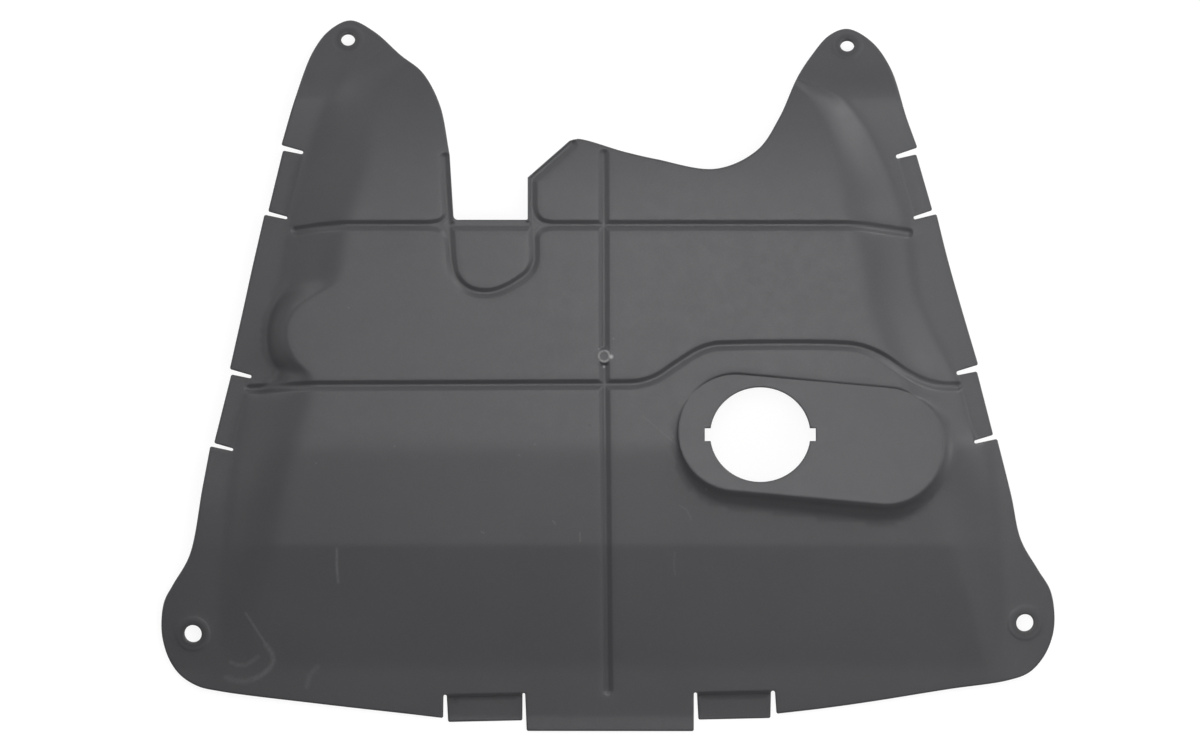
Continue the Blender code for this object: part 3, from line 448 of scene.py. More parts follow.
def junction_fillet(corner, side, up, leg, reach):
    """Short groove that rounds one corner where two grooves meet."""
    end_x = float(across_at(leg, corner.y + up * reach))
    shape = []
    for along, over, onward in JUNCTION_SHAPE:
        x = corner.x + (end_x - corner.x) * over + side * reach * along
        shape.append(Vector((x, corner.y + up * reach * onward)))
    return curve(shape)


def groove_routes():
    """The middle line of every groove."""
    left = Vector((NOTCH_LEFT_X - LEFT_LEG_INSET, REAR_GROOVE_Y))
    right = Vector((NOTCH_RIGHT_X + RIGHT_LEG_INSET, REAR_GROOVE_Y))
    bend = Vector((NOTCH_RIGHT_X + EDGE_GROOVE_INSET, REAR_GROOVE_Y + RIGHT_LEG_BEND))
    shoulder = Vector((NOTCH_RIGHT_X, NOTCH_SHOULDER_Y))
    slant = (SHOULDER_TIP - shoulder).normalized()
    slant_inset = Vector((slant.y, -slant.x)) * EDGE_GROOVE_INSET
    knee = shoulder + Vector((1.0, -slant.x / (1 + slant.y))) * EDGE_GROOVE_INSET
    left_leg = [*LEFT_LEG_TOP, left, PATCH_GROOVE[0]]
    right_leg = [PATCH_GROOVE[-1], right, bend, knee]
    rear = straight(*REAR_GROOVE_STRAIGHT)
    breakout = curve([*LEFT_LEG_TOP, left, *PATCH_GROOVE, right, bend])
    front = straight(FRONT_GROOVE_LEFT_END[-1], FRONT_GROOVE_HUMP[0])
    return [
        [*curve(REAR_GROOVE_LEFT_END)[:-1],
         *straight(REAR_GROOVE_LEFT_END[-1], rear[0])[:-1], *rear[:-1],
         *straight(rear[-1], REAR_GROOVE_RIGHT_END[0])[:-1], *curve(REAR_GROOVE_RIGHT_END)],
        [*curve(FRONT_GROOVE_LEFT_END)[:-1], *front[:-1], *curve(FRONT_GROOVE_HUMP)],
        straight(LONG_GROOVE[0], LONG_GROOVE[1]) + straight(LONG_GROOVE[1], LONG_GROOVE[2])[1:],
        [*breakout, *straight(bend, knee)[1:], *straight(knee, SHOULDER_TIP + slant_inset)[1:]],
        *[junction_fillet(left, -1, up, left_leg, reach) for up in (1, -1) for reach in JUNCTION_REACHES],
        *[junction_fillet(right, 1, up, right_leg, reach) for up in (1, -1) for reach in JUNCTION_REACHES],
    ]


routes = groove_routes()
length = sum((b - a).length for route in routes for a, b in zip(route, route[1:]))
print("grooves:", len(routes), "with a length of", round(length), "mm")

# %% [markdown]
# ## Distances in the plan
# The die asks how far a point is from a groove or from the pad's rim, and whether it lies inside a
# loop. A shader could ask the same with textures, but only real geometry catches the light at its
# edges.

# %% Distances and insides


def as_array(chain):
    """The chain's points as rows of numbers."""
    return np.array([tuple(point) for point in chain])


def closed(loop):
    """The loop with its first point again at its end."""
    return [*loop, loop[0]]


def distance_to_lines(spots, lines):
    """Least distance from each spot to any of the lines."""
    nearest = np.full(len(spots), np.inf)
    for line in lines:
        corners = as_array(line)
        for start, span in zip(corners, np.diff(corners, axis=0)):
            gap = spots - start
            share = np.clip(gap @ span / max(span @ span, 1e-12), 0.0, 1.0)
            gap = gap - share[:, None] * span
            nearest = np.minimum(nearest, np.hypot(gap[:, 0], gap[:, 1]))
    return nearest


def inside(spots, loop):
    """Which of the spots lie inside the closed loop."""
    result = np.zeros(len(spots), dtype=bool)
    for start, end in zip(loop, closed(loop)[1:]):
        if start.y == end.y:
            continue
        crosses = (start.y > spots[:, 1]) != (end.y > spots[:, 1])
        at = start.x + (spots[:, 1] - start.y) * (end.x - start.x) / (end.y - start.y)
        result ^= crosses & (spots[:, 0] < at)
    return result


# %% [markdown]
# ## Drain pad and drain hole
# The pad is a flat table with round ends that stands proud of the falling belly, so that a drain
# tool can sit on it. Its wall falls at one slope on the whole, so the foot of the wall lies further
# out where the belly is lower. A raised disc with a bevel would have the same foot all round, so the
# foot is found by walking out from each point of the rim. Between the two the wall is hollow: steep
# below the rim, and flowing out softly into the belly.

# %% Sizes of the pad and the drain hole
PAD_CENTRE = Vector((108.5, -48.5))
PAD_RADIUS = 49.0
PAD_LENGTH = 127.0
PAD_TURN = math.radians(-5.2)
PAD_SINK = 0.9
PAD_RISE = math.radians(5.0)
PAD_WALL_SLOPE = math.radians(46.0)
PAD_LEAST_RUN = 2.6
PAD_WALL_HOLLOW = 0.85
PAD_WALL_ROUNDING = 0.08
PAD_FOOT_ROUNDS = 6
PAD_END_PIECES = 48
PAD_CREASE_X = 185.5
PAD_CREASE_FALL = math.tan(math.radians(0.5))
PAD_CREASE_RADIUS = 4.0
DRAIN_OFFSET = 20.5
DRAIN_WIDTH = 85.0
DRAIN_LENGTH = 80.4
DRAIN_KEY_DEPTH = 4.6
DRAIN_KEY_WIDTH = 11.0
DRAIN_SIDE_PIECES = 44

pad_along = Vector((math.cos(PAD_TURN), math.sin(PAD_TURN)))
pad_across = Vector((-pad_along.y, pad_along.x))

# %% Rim, top and foot of the pad


def pad_loop(inset):
    """The pad's edge moved in by the inset: two arcs joined by straight sides."""
    radius = PAD_RADIUS - inset
    loop = []
    for middle, start in ((PAD_CENTRE + pad_along * PAD_LENGTH, -math.pi / 2), (PAD_CENTRE, math.pi / 2)):
        turns = arc_turns(start, math.pi, PAD_END_PIECES)
        loop += [middle + (pad_along * math.cos(t) + pad_across * math.sin(t)) * radius for t in turns]
    return divided(loop)


def pad_height(spots):
    """The pad's plane, with the faint crease across its middle."""
    rear = PAD_CENTRE + pad_across * PAD_RADIUS
    forward = -(spots - np.array(rear)) @ np.array(pad_across)
    crease = PAD_CREASE_FALL * hinge_run(PAD_CREASE_X - spots[:, 0], PAD_CREASE_RADIUS)
    return BELLY_HEIGHT - PAD_SINK + forward * math.tan(PAD_RISE) - crease


def pad_foot(rim):
    """Where the pad's wall meets the body, outside each rim point."""
    spots = as_array(rim)
    edges = np.roll(spots, -1, axis=0) - np.roll(spots, 1, axis=0)
    away = np.stack([edges[:, 1], -edges[:, 0]], axis=1) / np.linalg.norm(edges, axis=1)[:, None]
    run = np.full(len(spots), PAD_LEAST_RUN)
    for _ in range(PAD_FOOT_ROUNDS):
        ground = body_height(spots + away * run[:, None])
        run = np.maximum(PAD_LEAST_RUN, (pad_height(spots) - ground) / math.tan(PAD_WALL_SLOPE))
    return [Vector(spot) for spot in spots + away * run[:, None]]


def wall_share(spots):
    """How far down the pad's wall each spot lies: zero on the pad, one outside its foot."""
    from_rim = np.where(inside(spots, rim), 0.0, distance_to_lines(spots, [closed(rim)]))
    from_foot = np.where(inside(spots, foot), distance_to_lines(spots, [closed(foot)]), 0.0)
    share = np.where(from_rim > 1e-4, from_rim / np.maximum(from_rim + from_foot, 1e-6), 0.0)
    share = rounded_share(share, PAD_WALL_ROUNDING)
    return share * (1 + PAD_WALL_HOLLOW) - share * share * PAD_WALL_HOLLOW


rim = pad_loop(0.0)
foot = pad_foot(rim)
print("pad rim points:", len(rim))

# %% The drain hole


def drain_edge():
    """An oval with a key notch at either end of its width."""
    middle = PAD_CENTRE + pad_along * DRAIN_OFFSET
    gap = math.asin(DRAIN_KEY_WIDTH / DRAIN_LENGTH)
    loop = []
    for start, side in ((gap, -1), (math.pi + gap, 1)):
        for turn in arc_turns(start, math.pi - 2 * gap, DRAIN_SIDE_PIECES):
            spoke = Vector((math.cos(turn) * DRAIN_WIDTH / 2, math.sin(turn) * DRAIN_LENGTH / 2))
            loop.append(middle + spoke)
        key_x = side * (DRAIN_WIDTH / 2 + DRAIN_KEY_DEPTH)
        loop += [middle + Vector((key_x, -side * DRAIN_KEY_WIDTH / 2)),
                 middle + Vector((key_x, side * DRAIN_KEY_WIDTH / 2))]
    return divided(loop)


drain = drain_edge()
print("drain points:", len(drain))

# %% [markdown]
# ## Screw seats
# Each screw hole has a flat ring round it, raised by half a millimetre so that a washer bears on it.
# The ring lies in the slope of the flange. A cylinder merged into the sheet would stand upright in
# it, so the seat is a plane instead, fitted to the body at four points.

# %% Seats and holes
SEAT_RISE = 0.45
SEAT_FLANK = 1.8
SEAT_ROUNDING = 0.2
REAR_HOLE = 11.8
REAR_SEAT = 24.5
FRONT_HOLE = 14.9
FRONT_SEAT = 27.5
FIXINGS = [
    (Vector((-221.5, 285.8)), REAR_HOLE, REAR_SEAT), (Vector((203.2, 280.7)), REAR_HOLE, REAR_SEAT),
    (Vector((-353.5, -220.0)), FRONT_HOLE, FRONT_SEAT), (Vector((354.4, -210.7)), FRONT_HOLE, FRONT_SEAT)]


class Fixing:
    """A screw hole in its raised seat."""

    def __init__(self, centre, bore, seat):
        self.centre, self.bore, self.seat = centre, bore, seat
        reach = seat / 2
        steps = [centre + Vector(step) * reach for step in ((1, 0), (-1, 0), (0, 1), (0, -1))]
        east, west, north, south = body_height(as_array(steps))
        self.tilt = np.array(((east - west) / (2 * reach), (north - south) / (2 * reach)))
        self.height = (east + west + north + south) / 4
        self.steepness = float(np.hypot(*self.tilt))
        self.fall = self.tilt / self.steepness
        self.shrink = math.cos(math.atan(self.steepness))

    def circle(self, radius, pieces=48):
        """Plan of a circle that is round in the seat's own plane."""
        level = Vector((-self.fall[1], self.fall[0]))
        down = Vector(self.fall) * self.shrink
        turns = arc_turns(0.0, 2 * math.pi, pieces)[:-1]
        return [self.centre + (level * math.cos(t) + down * math.sin(t)) * radius for t in turns]

    def raise_seat(self, spots, heights):
        """Heights with the seat's plane put in and a short flank round it."""
        gap = spots - np.array(self.centre)
        down = gap @ self.fall / self.shrink
        level = gap @ np.array((-self.fall[1], self.fall[0]))
        plane = self.height + SEAT_RISE + gap @ self.tilt
        share = soft_share((np.hypot(down, level) - self.seat / 2) / SEAT_FLANK, SEAT_ROUNDING)
        return plane * (1 - share) + heights * share


fixings = [Fixing(*values) for values in FIXINGS]
print("seat heights:", [round(float(fixing.height), 1) for fixing in fixings])

# %% [markdown]
# ## The die
# All the forms come together in one height for each point of the plan: body, grooves, pad, seats and
# tabs. The mould's gate has left a small round table that fills the long groove, with a low ring on
# it. Between the legs of the patch the rear groove has no rear wall: its floor runs to the notch.
# Displacement in a material could do the small forms, but a mesh keeps them in every program.

# %% Steps of the tabs
SIDE_TAB_STEP = 1.1
TAB_FOLD_RUN = 2.4
TAB_FOLD_ROUNDING = 0.15
FARTHEST_ON_TAB = SLIT_DEPTH * 1.5


def tab_drop(spots):
    """How far each spot lies below its surroundings on a tab."""
    drop = np.zeros(len(spots))
    for hinge, reach, *_ in TABS:
        step = FRONT_TAB_STEP if reach == FRONT_TAB_REACH else SIDE_TAB_STEP
        along = (hinge[1] - hinge[0]).normalized()
        gap = spots - np.array(hinge[0])
        beside = gap @ np.array(along)
        beyond = gap @ np.array(outward(hinge))
        on_tab = (beside > 0) & (beside < (hinge[1] - hinge[0]).length) & (beyond < FARTHEST_ON_TAB)
        here = step * soft_share(beyond / TAB_FOLD_RUN, TAB_FOLD_ROUNDING)
        drop = np.where(on_tab, np.maximum(drop, here), drop)
    return drop


# %% Section of the grooves and mark of the gate
GROOVE_DEPTH = 2.4
GROOVE_FLOOR = 0.9
GROOVE_SHOULDER = 4.5
GROOVE_ROUNDING = 0.15
NOTCH_OVERLAP = 1.0
GATE_CENTRE = Vector((-3.8, 16.2))
GATE_RADIUS = 6.0
GATE_FLANK = 1.2
GATE_ROUNDING = 0.15
GATE_RING_RADIUS = 4.5
GATE_RING_WIDTH = 1.3
GATE_RING_RISE = 0.3


def grooved(spots):
    """The body's heights with the grooves sunk in and the gate's table and ring on them."""
    plain = body_height(spots)
    from_route = distance_to_lines(spots, routes)
    between_legs = (spots[:, 0] > NOTCH_LEFT_X) & (spots[:, 0] < NOTCH_RIGHT_X)
    below_notch = (spots[:, 1] > REAR_GROOVE_Y) & (spots[:, 1] < NOTCH_FLOOR_Y + NOTCH_OVERLAP)
    from_route = np.where(between_legs & below_notch, 0.0, from_route)
    share = soft_share((from_route - GROOVE_FLOOR) / (GROOVE_SHOULDER - GROOVE_FLOOR), GROOVE_ROUNDING)
    heights = plain - GROOVE_DEPTH * (1 - share)
    from_gate = np.hypot(*(spots - np.array(GATE_CENTRE)).T)
    off_table = soft_share((from_gate - GATE_RADIUS) / GATE_FLANK, GATE_ROUNDING)
    heights = plain + (heights - plain) * off_table
    ring = np.clip(1 - np.abs(from_gate - GATE_RING_RADIUS) / GATE_RING_WIDTH, 0.0, 1.0)
    return heights + GATE_RING_RISE * ring * ring * (3 - 2 * ring)


# %% All the forms together


def die_height(spots):
    """Height of the road side over each spot, in millimetres."""
    share = wall_share(spots)
    heights = pad_height(spots) * (1 - share) + grooved(spots) * share
    for fixing in fixings:
        heights = fixing.raise_seat(spots, heights)
    return heights - tab_drop(spots)


# %% [markdown]
# ## The blank
# The flat blank needs an edge along every outline, groove and fold, and small even triangles
# between them. A grid cut by Booleans leaves slivers along each cut, and a filled curve has no
# points inside. Blender's constrained Delaunay function keeps every line as an edge and joins a
# field of loose points to them, so it is the tool for a sheet like this.

# %% Bands round a line and triangles over a plan
SHORTEST_EDGE = 0.45
LEAST_MITRE = 0.5
MERGE_DISTANCE = 0.001


def band(route, half_width):
    """Closed outline round a route at this half width, with round ends."""
    directions = [(b - a).normalized() for a, b in zip(route, route[1:])]
    right, left = [], []
    for point, a, b in zip(route, [directions[0], *directions], [*directions, directions[-1]]):
        along = (a + b).normalized()
        normal = Vector((along.y, -along.x)) * half_width / max(LEAST_MITRE, along.dot(a))
        right.append(point + normal)
        left.append(point - normal)
    caps = []
    for point, along in ((route[-1], directions[-1]), (route[0], -directions[0])):
        normal = Vector((along.y, -along.x))
        turns = arc_turns(0.0, math.pi, ROUND_END_PIECES)[1:-1]
        caps.append([point + (normal * math.cos(t) + along * math.sin(t)) * half_width for t in turns])
    return [*right, *caps[0], *reversed(left), *caps[1]]


def triangulate(loops, lines, loose):
    """Triangles over the loose points that keep every loop and line as edges."""
    coords, edges = list(loose), []
    for chain, is_loop in [(loop, True) for loop in loops] + [(line, False) for line in lines]:
        first = len(coords)
        coords += chain
        edges += [(first + i, first + i + 1) for i in range(len(chain) - 1)]
        if is_loop:
            edges.append((first + len(chain) - 1, first))
    result = delaunay_2d_cdt(coords, edges, [], 0, MERGE_DISTANCE)
    return result[0], result[2]


# %% One outline for bands that cross


def thinned(loop):
    """The loop without points that crowd the one before."""
    kept = [loop[0]]
    for point in loop[1:]:
        if (point - kept[-1]).length >= SHORTEST_EDGE:
            kept.append(point)
    while len(kept) > 3 and (kept[-1] - kept[0]).length < SHORTEST_EDGE:
        kept.pop()
    return kept


def merged_outlines(bands):
    """Outlines of the area that the bands cover together."""
    coords, triangles = triangulate(bands, [], [])
    centres = as_array(coords)[np.array(triangles)].mean(axis=1)
    covered = np.zeros(len(triangles), dtype=bool)
    for loop in bands:
        covered |= inside(centres, loop)
    sides = set()
    for triangle, keep in zip(triangles, covered):
        if keep:
            sides.update(zip(triangle, [*triangle[1:], triangle[0]]))
    border = {}
    for a, b in sorted(sides):
        if (b, a) not in sides:
            border.setdefault(a, []).append(b)
    outlines = []
    while border:
        start = next(iter(border))
        chain, at = [start], start
        while True:
            onward = border[at].pop()
            if not border[at]:
                del border[at]
            at = onward
            if at == start:
                break
            chain.append(at)
        outlines.append(thinned([coords[i] for i in chain]))
    return [chain for chain in outlines if len(chain) > 3]


# %% Lines along the folds
FOLD_STEP = 4.0
FOLD_END_X = 390.0
CRISP_FOLDS = [
    (THIRD_FOLD_Y, THIRD_FOLD_RADIUS), (SECOND_FOLD_Y, SECOND_FOLD_RADIUS), (LIP_FOLD_Y, LIP_FOLD_RADIUS)]
TAB_FOLD_LINES = (-1.4, -0.4, 0.4, TAB_FOLD_RUN / 2, TAB_FOLD_RUN - 0.4, TAB_FOLD_RUN + 0.4)


def fold_lines():
    """Lines along each crisp fold, both bends of the ramps, and the hinges of the tabs."""
    lines = []
    for fold_y, radius in CRISP_FOLDS:
        for y in (fold_y - radius, fold_y, fold_y + radius):
            lines.append(straight(Vector((-FOLD_END_X, y)), Vector((FOLD_END_X, y)), FOLD_STEP))
    for inner, outer, *_ in RAMPS:
        y = np.arange(max(inner[-1].y, outer[-1].y), min(inner[0].y, outer[0].y), FOLD_STEP)
        inner_x, outer_x = [across_at(curve(line), y) for line in (inner, outer)]
        for share in (-RAMP_BEND, 0.0, RAMP_BEND, 1 - RAMP_BEND, 1.0, 1 + RAMP_BEND):
            x = inner_x + (outer_x - inner_x) * share
            lines.append([Vector(spot) for spot in zip(x, y)])
    for hinge, *_ in TABS:
        for run in TAB_FOLD_LINES:
            away = outward(hinge) * run
            lines.append(straight(hinge[0] + away, hinge[1] + away, FOLD_STEP))
    return lines


lines = fold_lines()
print("fold lines:", len(lines))

# %% Loops along the edges, grooves, seats, gate and pad
EDGE_RADIUS = 0.8
# How far the loops lie from their edge, line or centre, and how far down the pad's wall
EDGE_LOOPS = (EDGE_RADIUS * 0.25, EDGE_RADIUS, 2.2)
GROOVE_LOOPS = (0.5, 1.0, 1.9, 2.7, 3.6, 4.4, 5.2)
SEAT_LOOPS = (-0.5, 0.5, 1.3, 2.3)
GATE_LOOPS = (3.2, 3.9, 4.5, 5.1, 5.8, 6.6, 7.3)
GATE_PIECES = 36
WALL_LOOPS = (0.07, 0.2, 0.4, 0.65)
PAD_INNER_INSET = 1.5

bores = [fixing.circle(fixing.bore / 2) for fixing in fixings]
rims = [closed(loop) + [loop[1]] for loop in (outline, *bores, drain)]
edge_loops = []
for inset in EDGE_LOOPS:
    edge_loops += merged_outlines([band(loop, inset) for loop in rims])
groove_loops = []
for half_width in GROOVE_LOOPS:
    groove_loops += merged_outlines([band(route, half_width) for route in routes])
seat_loops = [fixing.circle(fixing.seat / 2 + run) for fixing in fixings for run in SEAT_LOOPS]
gate_turns = np.linspace(0, 2 * math.pi, GATE_PIECES + 1)[:-1]
gate_spokes = [Vector((math.cos(turn), math.sin(turn))) for turn in gate_turns]
gate_loops = [[GATE_CENTRE + spoke * radius for spoke in gate_spokes] for radius in GATE_LOOPS]
wall_loops = [[a.lerp(b, share) for a, b in zip(rim, foot)] for share in WALL_LOOPS]
openings = [*bores, drain]
loops = [outline, *openings, *edge_loops, *groove_loops, *seat_loops, *gate_loops,
         rim, foot, pad_loop(PAD_INNER_INSET), *wall_loops]
print("loops:", len(loops))

# %% A field of points, and the blank cut out of it
FIELD_STEP = 5.0
FIELD_CLEARANCE = 0.55


def field_points():
    """An even field of points over the panel, clear of every loop and line."""
    corners = as_array(outline)
    low, high = corners.min(axis=0), corners.max(axis=0)
    rows = round((high[1] - low[1]) / (FIELD_STEP * math.sqrt(3) / 2))
    grid = []
    for row in range(rows + 1):
        y = low[1] + (high[1] - low[1]) * row / rows
        x = np.arange(low[0] + FIELD_STEP / 2 * (row % 2), high[0], FIELD_STEP)
        grid.append(np.stack([x, np.full(len(x), y)], axis=1))
    grid = np.concatenate(grid)
    grid = grid[inside(grid, outline)]
    chain_points = [point for chain in [*loops, *lines] for point in chain]
    tree = KDTree(len(chain_points))
    for index, point in enumerate(chain_points):
        tree.insert((point.x, point.y, 0.0), index)
    tree.balance()
    clear = FIELD_STEP * FIELD_CLEARANCE
    return [Vector(spot) for spot in grid if tree.find((spot[0], spot[1], 0.0))[2] > clear]


coords, triangles = triangulate(loops, lines, field_points())
corners = as_array(coords)
centres = corners[np.array(triangles)].mean(axis=1)
kept = inside(centres, outline)
for opening in openings:
    kept &= ~inside(centres, opening)
heights = die_height(corners)
depth_in = np.clip(distance_to_lines(corners, rims) / EDGE_RADIUS, 0.0, 1.0)
edge_drop = EDGE_RADIUS * (1 - np.sqrt(1 - (1 - depth_in) ** 2))
print("blank triangles:", int(kept.sum()))

# %% [markdown]
# ## Pressing and wall
# The blank is lifted to the die's heights, as a press would do with sheet metal. A Solidify modifier
# would give it the three millimetres of wall, but where two bends meet it pokes spikes out of the
# underside, and along a sloping edge it leans the side face outwards. So the underside is made here:
# each point goes down square to the sheet, no more than a quarter further than the wall, and
# straight down at the panel's own edge. A moulded edge is never sharp, so both skins are eased
# together near every edge by the drop of a quarter circle.

# %% The skin of the road side, and the step to the underside
WALL = 3.0
MOST_STRETCH = 1.25
UPRIGHT_REACH = 6.0


def road_side(used):
    """The road side's skin in metres, facing up, on the points that are used."""
    sheet = bmesh.new()
    at = {i: sheet.verts.new((corners[i][0] * MM, corners[i][1] * MM, heights[i] * MM)) for i in used}
    for triangle, keep in zip(triangles, kept):
        if keep:
            sheet.faces.new([at[i] for i in triangle])
    bmesh.ops.recalc_face_normals(sheet, faces=sheet.faces)
    sheet.normal_update()
    if sum(face.normal.z for face in sheet.faces) < 0:
        bmesh.ops.reverse_faces(sheet, faces=sheet.faces)
        sheet.normal_update()
    return sheet


def underside_step(vertex, share):
    """Step from a road side point to the underside: square to the sheet, but upright at its edge."""
    square = -vertex.normal * WALL * MM * min(vertex.calc_shell_factor(), MOST_STRETCH)
    depth = min(square.length_squared / -square.z, MOST_STRETCH * square.length)
    return Vector((0, 0, -depth)).lerp(square, share)


# %% Both skins in one mesh
used = sorted({i for triangle, keep in zip(triangles, kept) if keep for i in triangle})
sheet = road_side(used)
upper_faces, upper = list(sheet.faces), list(sheet.verts)
rim_sides = [edge.link_loops[0] for edge in sheet.edges if edge.is_boundary]
rim_sides = [(side.vert, side.link_loop_next.vert) for side in rim_sides]
square_share = np.clip(distance_to_lines(corners[used], [closed(outline)]) / UPRIGHT_REACH, 0.0, 1.0)
steps = [underside_step(vertex, float(share)) for vertex, share in zip(upper, square_share)]
under = {vertex: sheet.verts.new(vertex.co + step) for vertex, step in zip(upper, steps)}
for face in upper_faces:
    sheet.faces.new([under[vertex] for vertex in reversed(face.verts)])
for start, end in rim_sides:
    sheet.faces.new([end, start, under[start], under[end]])
for vertex, drop in zip(upper, edge_drop[used] * MM):
    vertex.co.z -= drop
    under[vertex].co.z += drop
for face in sheet.faces:
    face.smooth = True
skin = bpy.data.meshes.new("moulded_shield")
sheet.to_mesh(skin)
sheet.free()
shield = bpy.data.objects.new("moulded_shield", skin)
bpy.context.scene.collection.objects.link(shield)
print("points in the walled sheet:", len(skin.vertices), "of them in each skin:", len(used))

# %% [markdown]
# ## Place of the panel
# The plan was drawn round a middle of its own, so the finished sheet is set onto the CAD node's box.
# The shift goes into the mesh, and the object stays at the origin.

# %% Set the sheet onto the box of the CAD node


def evaluated_box(item):
    """Lowest and highest corner of an object, and how many triangles it has."""
    evaluated = item.evaluated_get(bpy.context.evaluated_depsgraph_get())
    mesh = evaluated.to_mesh()
    spots = np.empty(len(mesh.vertices) * 3)
    mesh.vertices.foreach_get("co", spots)
    faces = sum(len(polygon.vertices) - 2 for polygon in mesh.polygons)
    evaluated.to_mesh_clear()
    spots = spots.reshape(-1, 3)
    return Vector(spots.min(axis=0)), Vector(spots.max(axis=0)), faces


node_low, node_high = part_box("splash_shield")
low, high, faces = evaluated_box(shield)
shift = Vector((
    (node_low.x + node_high.x - low.x - high.x) / 2,
    (node_low.y + node_high.y - low.y - high.y) / 2,
    node_low.z - low.z))
placed = bmesh.new()
placed.from_mesh(shield.data)
bmesh.ops.translate(placed, verts=placed.verts, vec=shift)
placed.to_mesh(shield.data)
placed.free()
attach(shield, "root")
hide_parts("splash_shield")
print("shield triangles:", faces, "shift in mm:", [round(value / MM, 2) for value in shift])
print("shield size in mm:", [round(value / MM, 1) for value in high - low])

# %% [markdown]
# ## Writing shaders as sums
# A material is a graph of nodes, and long graphs are hard to read in Python. A small class wraps a
# socket, so that plus, minus, times and divide add Math nodes, and one method adds any other node.

# %% A socket in a sum


class Wire:
    """A socket that takes part in Python expressions."""

    def __init__(self, graph, socket):
        self.graph = graph
        self.socket = socket

    def math(self, operation, *others):
        """One Math node on this value and the others."""
        return self.graph.node("ShaderNodeMath", {"operation": operation}, [self, *others])

    def __add__(self, other):
        return self.math("ADD", other)

    __radd__ = __add__

    def __mul__(self, other):
        return self.math("MULTIPLY", other)

    __rmul__ = __mul__

    def __sub__(self, other):
        return self.math("SUBTRACT", other)

    def __rsub__(self, other):
        return self.graph.node("ShaderNodeMath", {"operation": "SUBTRACT"}, [other, self])

    def __truediv__(self, other):
        return self.math("DIVIDE", other)

    def clamped(self):
        """The value held between zero and one."""
        return self.graph.node("ShaderNodeClamp", {}, [self, 0.0, 1.0])


# %% The nodes of one material


class Graph:
    """The node tree of one material."""

    def __init__(self, name):
        self.material = bpy.data.materials.new(name)
        self.material.use_nodes = True
        self.tree = self.material.node_tree
        self.tree.nodes.clear()

    def node(self, kind, settings, sockets, output=0):
        """Adds a node: its settings first, then the values or links of its sockets."""
        node = self.tree.nodes.new(kind)
        for name, value in settings.items():
            setattr(node, name, value)
        pairs = sockets.items() if isinstance(sockets, dict) else enumerate(sockets)
        for key, value in pairs:
            if isinstance(value, Wire):
                self.tree.links.new(value.socket, node.inputs[key])
            else:
                node.inputs[key].default_value = value
        return Wire(self, node.outputs[output])

    def noise(self, where, scale, detail, roughness):
        """Soft noise: the larger its scale, the finer its grain."""
        return self.node("ShaderNodeTexNoise", {}, {
            "Vector": where, "Scale": scale, "Detail": detail, "Roughness": roughness})

    def between(self, value, low, high, new_low=0.0, new_high=1.0):
        """Maps a value from one range to another, smoothly and without going past the ends."""
        return self.node("ShaderNodeMapRange", {"interpolation_type": "SMOOTHSTEP"}, [
            value, low, high, new_low, new_high])

    def mix(self, share, first, second):
        """Colour between two colours. Its sockets share their names with others, so they have numbers."""
        return self.node("ShaderNodeMix", {"data_type": "RGBA"}, {0: share, 6: first, 7: second}, 2)

    def surface(self, shader):
        """Hands the finished shader to the material's output."""
        output = self.tree.nodes.new("ShaderNodeOutputMaterial")
        self.tree.links.new(shader.socket, output.inputs["Surface"])


# %% [markdown]
# ## Black polypropylene
# The mould's face is finely etched, so the plastic is satin and not glossy. Its colour and its gloss
# change only a little, in soft clouds and fine specks. The rubbed marks are faint: short scratches,
# nicks, and a looped scuff near the front left corner. The gate has left a pale ring, painted pale
# partly as its own mark and partly as a painted highlight along the raised ring, and a few pale spots
# beside it are painted highlights. One dark spot lies on the belly, and a darker ring round each screw
# hole. Painted images could carry all this, but they turn coarse close up. So each mark is a point, a
# circle or a chain of lines in the plan, drawn with the distance to it.

# %% Places of the marks
PLAN_SHIFT = Vector((shift.x, shift.y)) / MM
# Each scratch: its chain of points, its half width and its strength
SCRATCHES = [
    ([(-308.2, -202.5), (-299.7, -215.8), (-291.2, -229.0)], 1.4, 0.65),
    ([(-291.2, -229.0), (-286.2, -236.5), (-284.9, -242.5), (-287.5, -248.5), (-293.5, -254.0),
      (-301.5, -258.5)], 2.6, 0.7),
    ([(-301.5, -258.5), (-310.1, -260.6), (-318.0, -259.8), (-325.2, -257.4)], 3.0, 0.45),
    ([(-321.4, -244.1), (-315.7, -246.6), (-308.2, -246.4), (-302.5, -242.8), (-298.3, -239.4)], 2.2, 0.5),
    ([(-247.7, -248.0), (-254.3, -255.5), (-256.7, -265.3)], 2.8, 0.4),
    ([(-230.7, -147.0), (-230.9, -162.0), (-229.7, -176.1)], 1.5, 0.8),
    ([(-24.2, -133.6), (-24.0, -141.3)], 0.8, 0.8),
    ([(-47.0, -124.0), (-45.2, -126.4)], 1.1, 0.7),
    ([(-107.6, -133.2), (-105.8, -134.2)], 1.1, 0.7),
    ([(29.5, -34.8), (57.6, -58.6)], 0.8, 0.4),
    ([(60.2, -110.6), (66.4, -114.0), (70.4, -122.5)], 0.8, 0.55),
    ([(56.6, -150.6), (55.4, -160.0), (56.8, -170.2)], 0.8, 0.5),
]
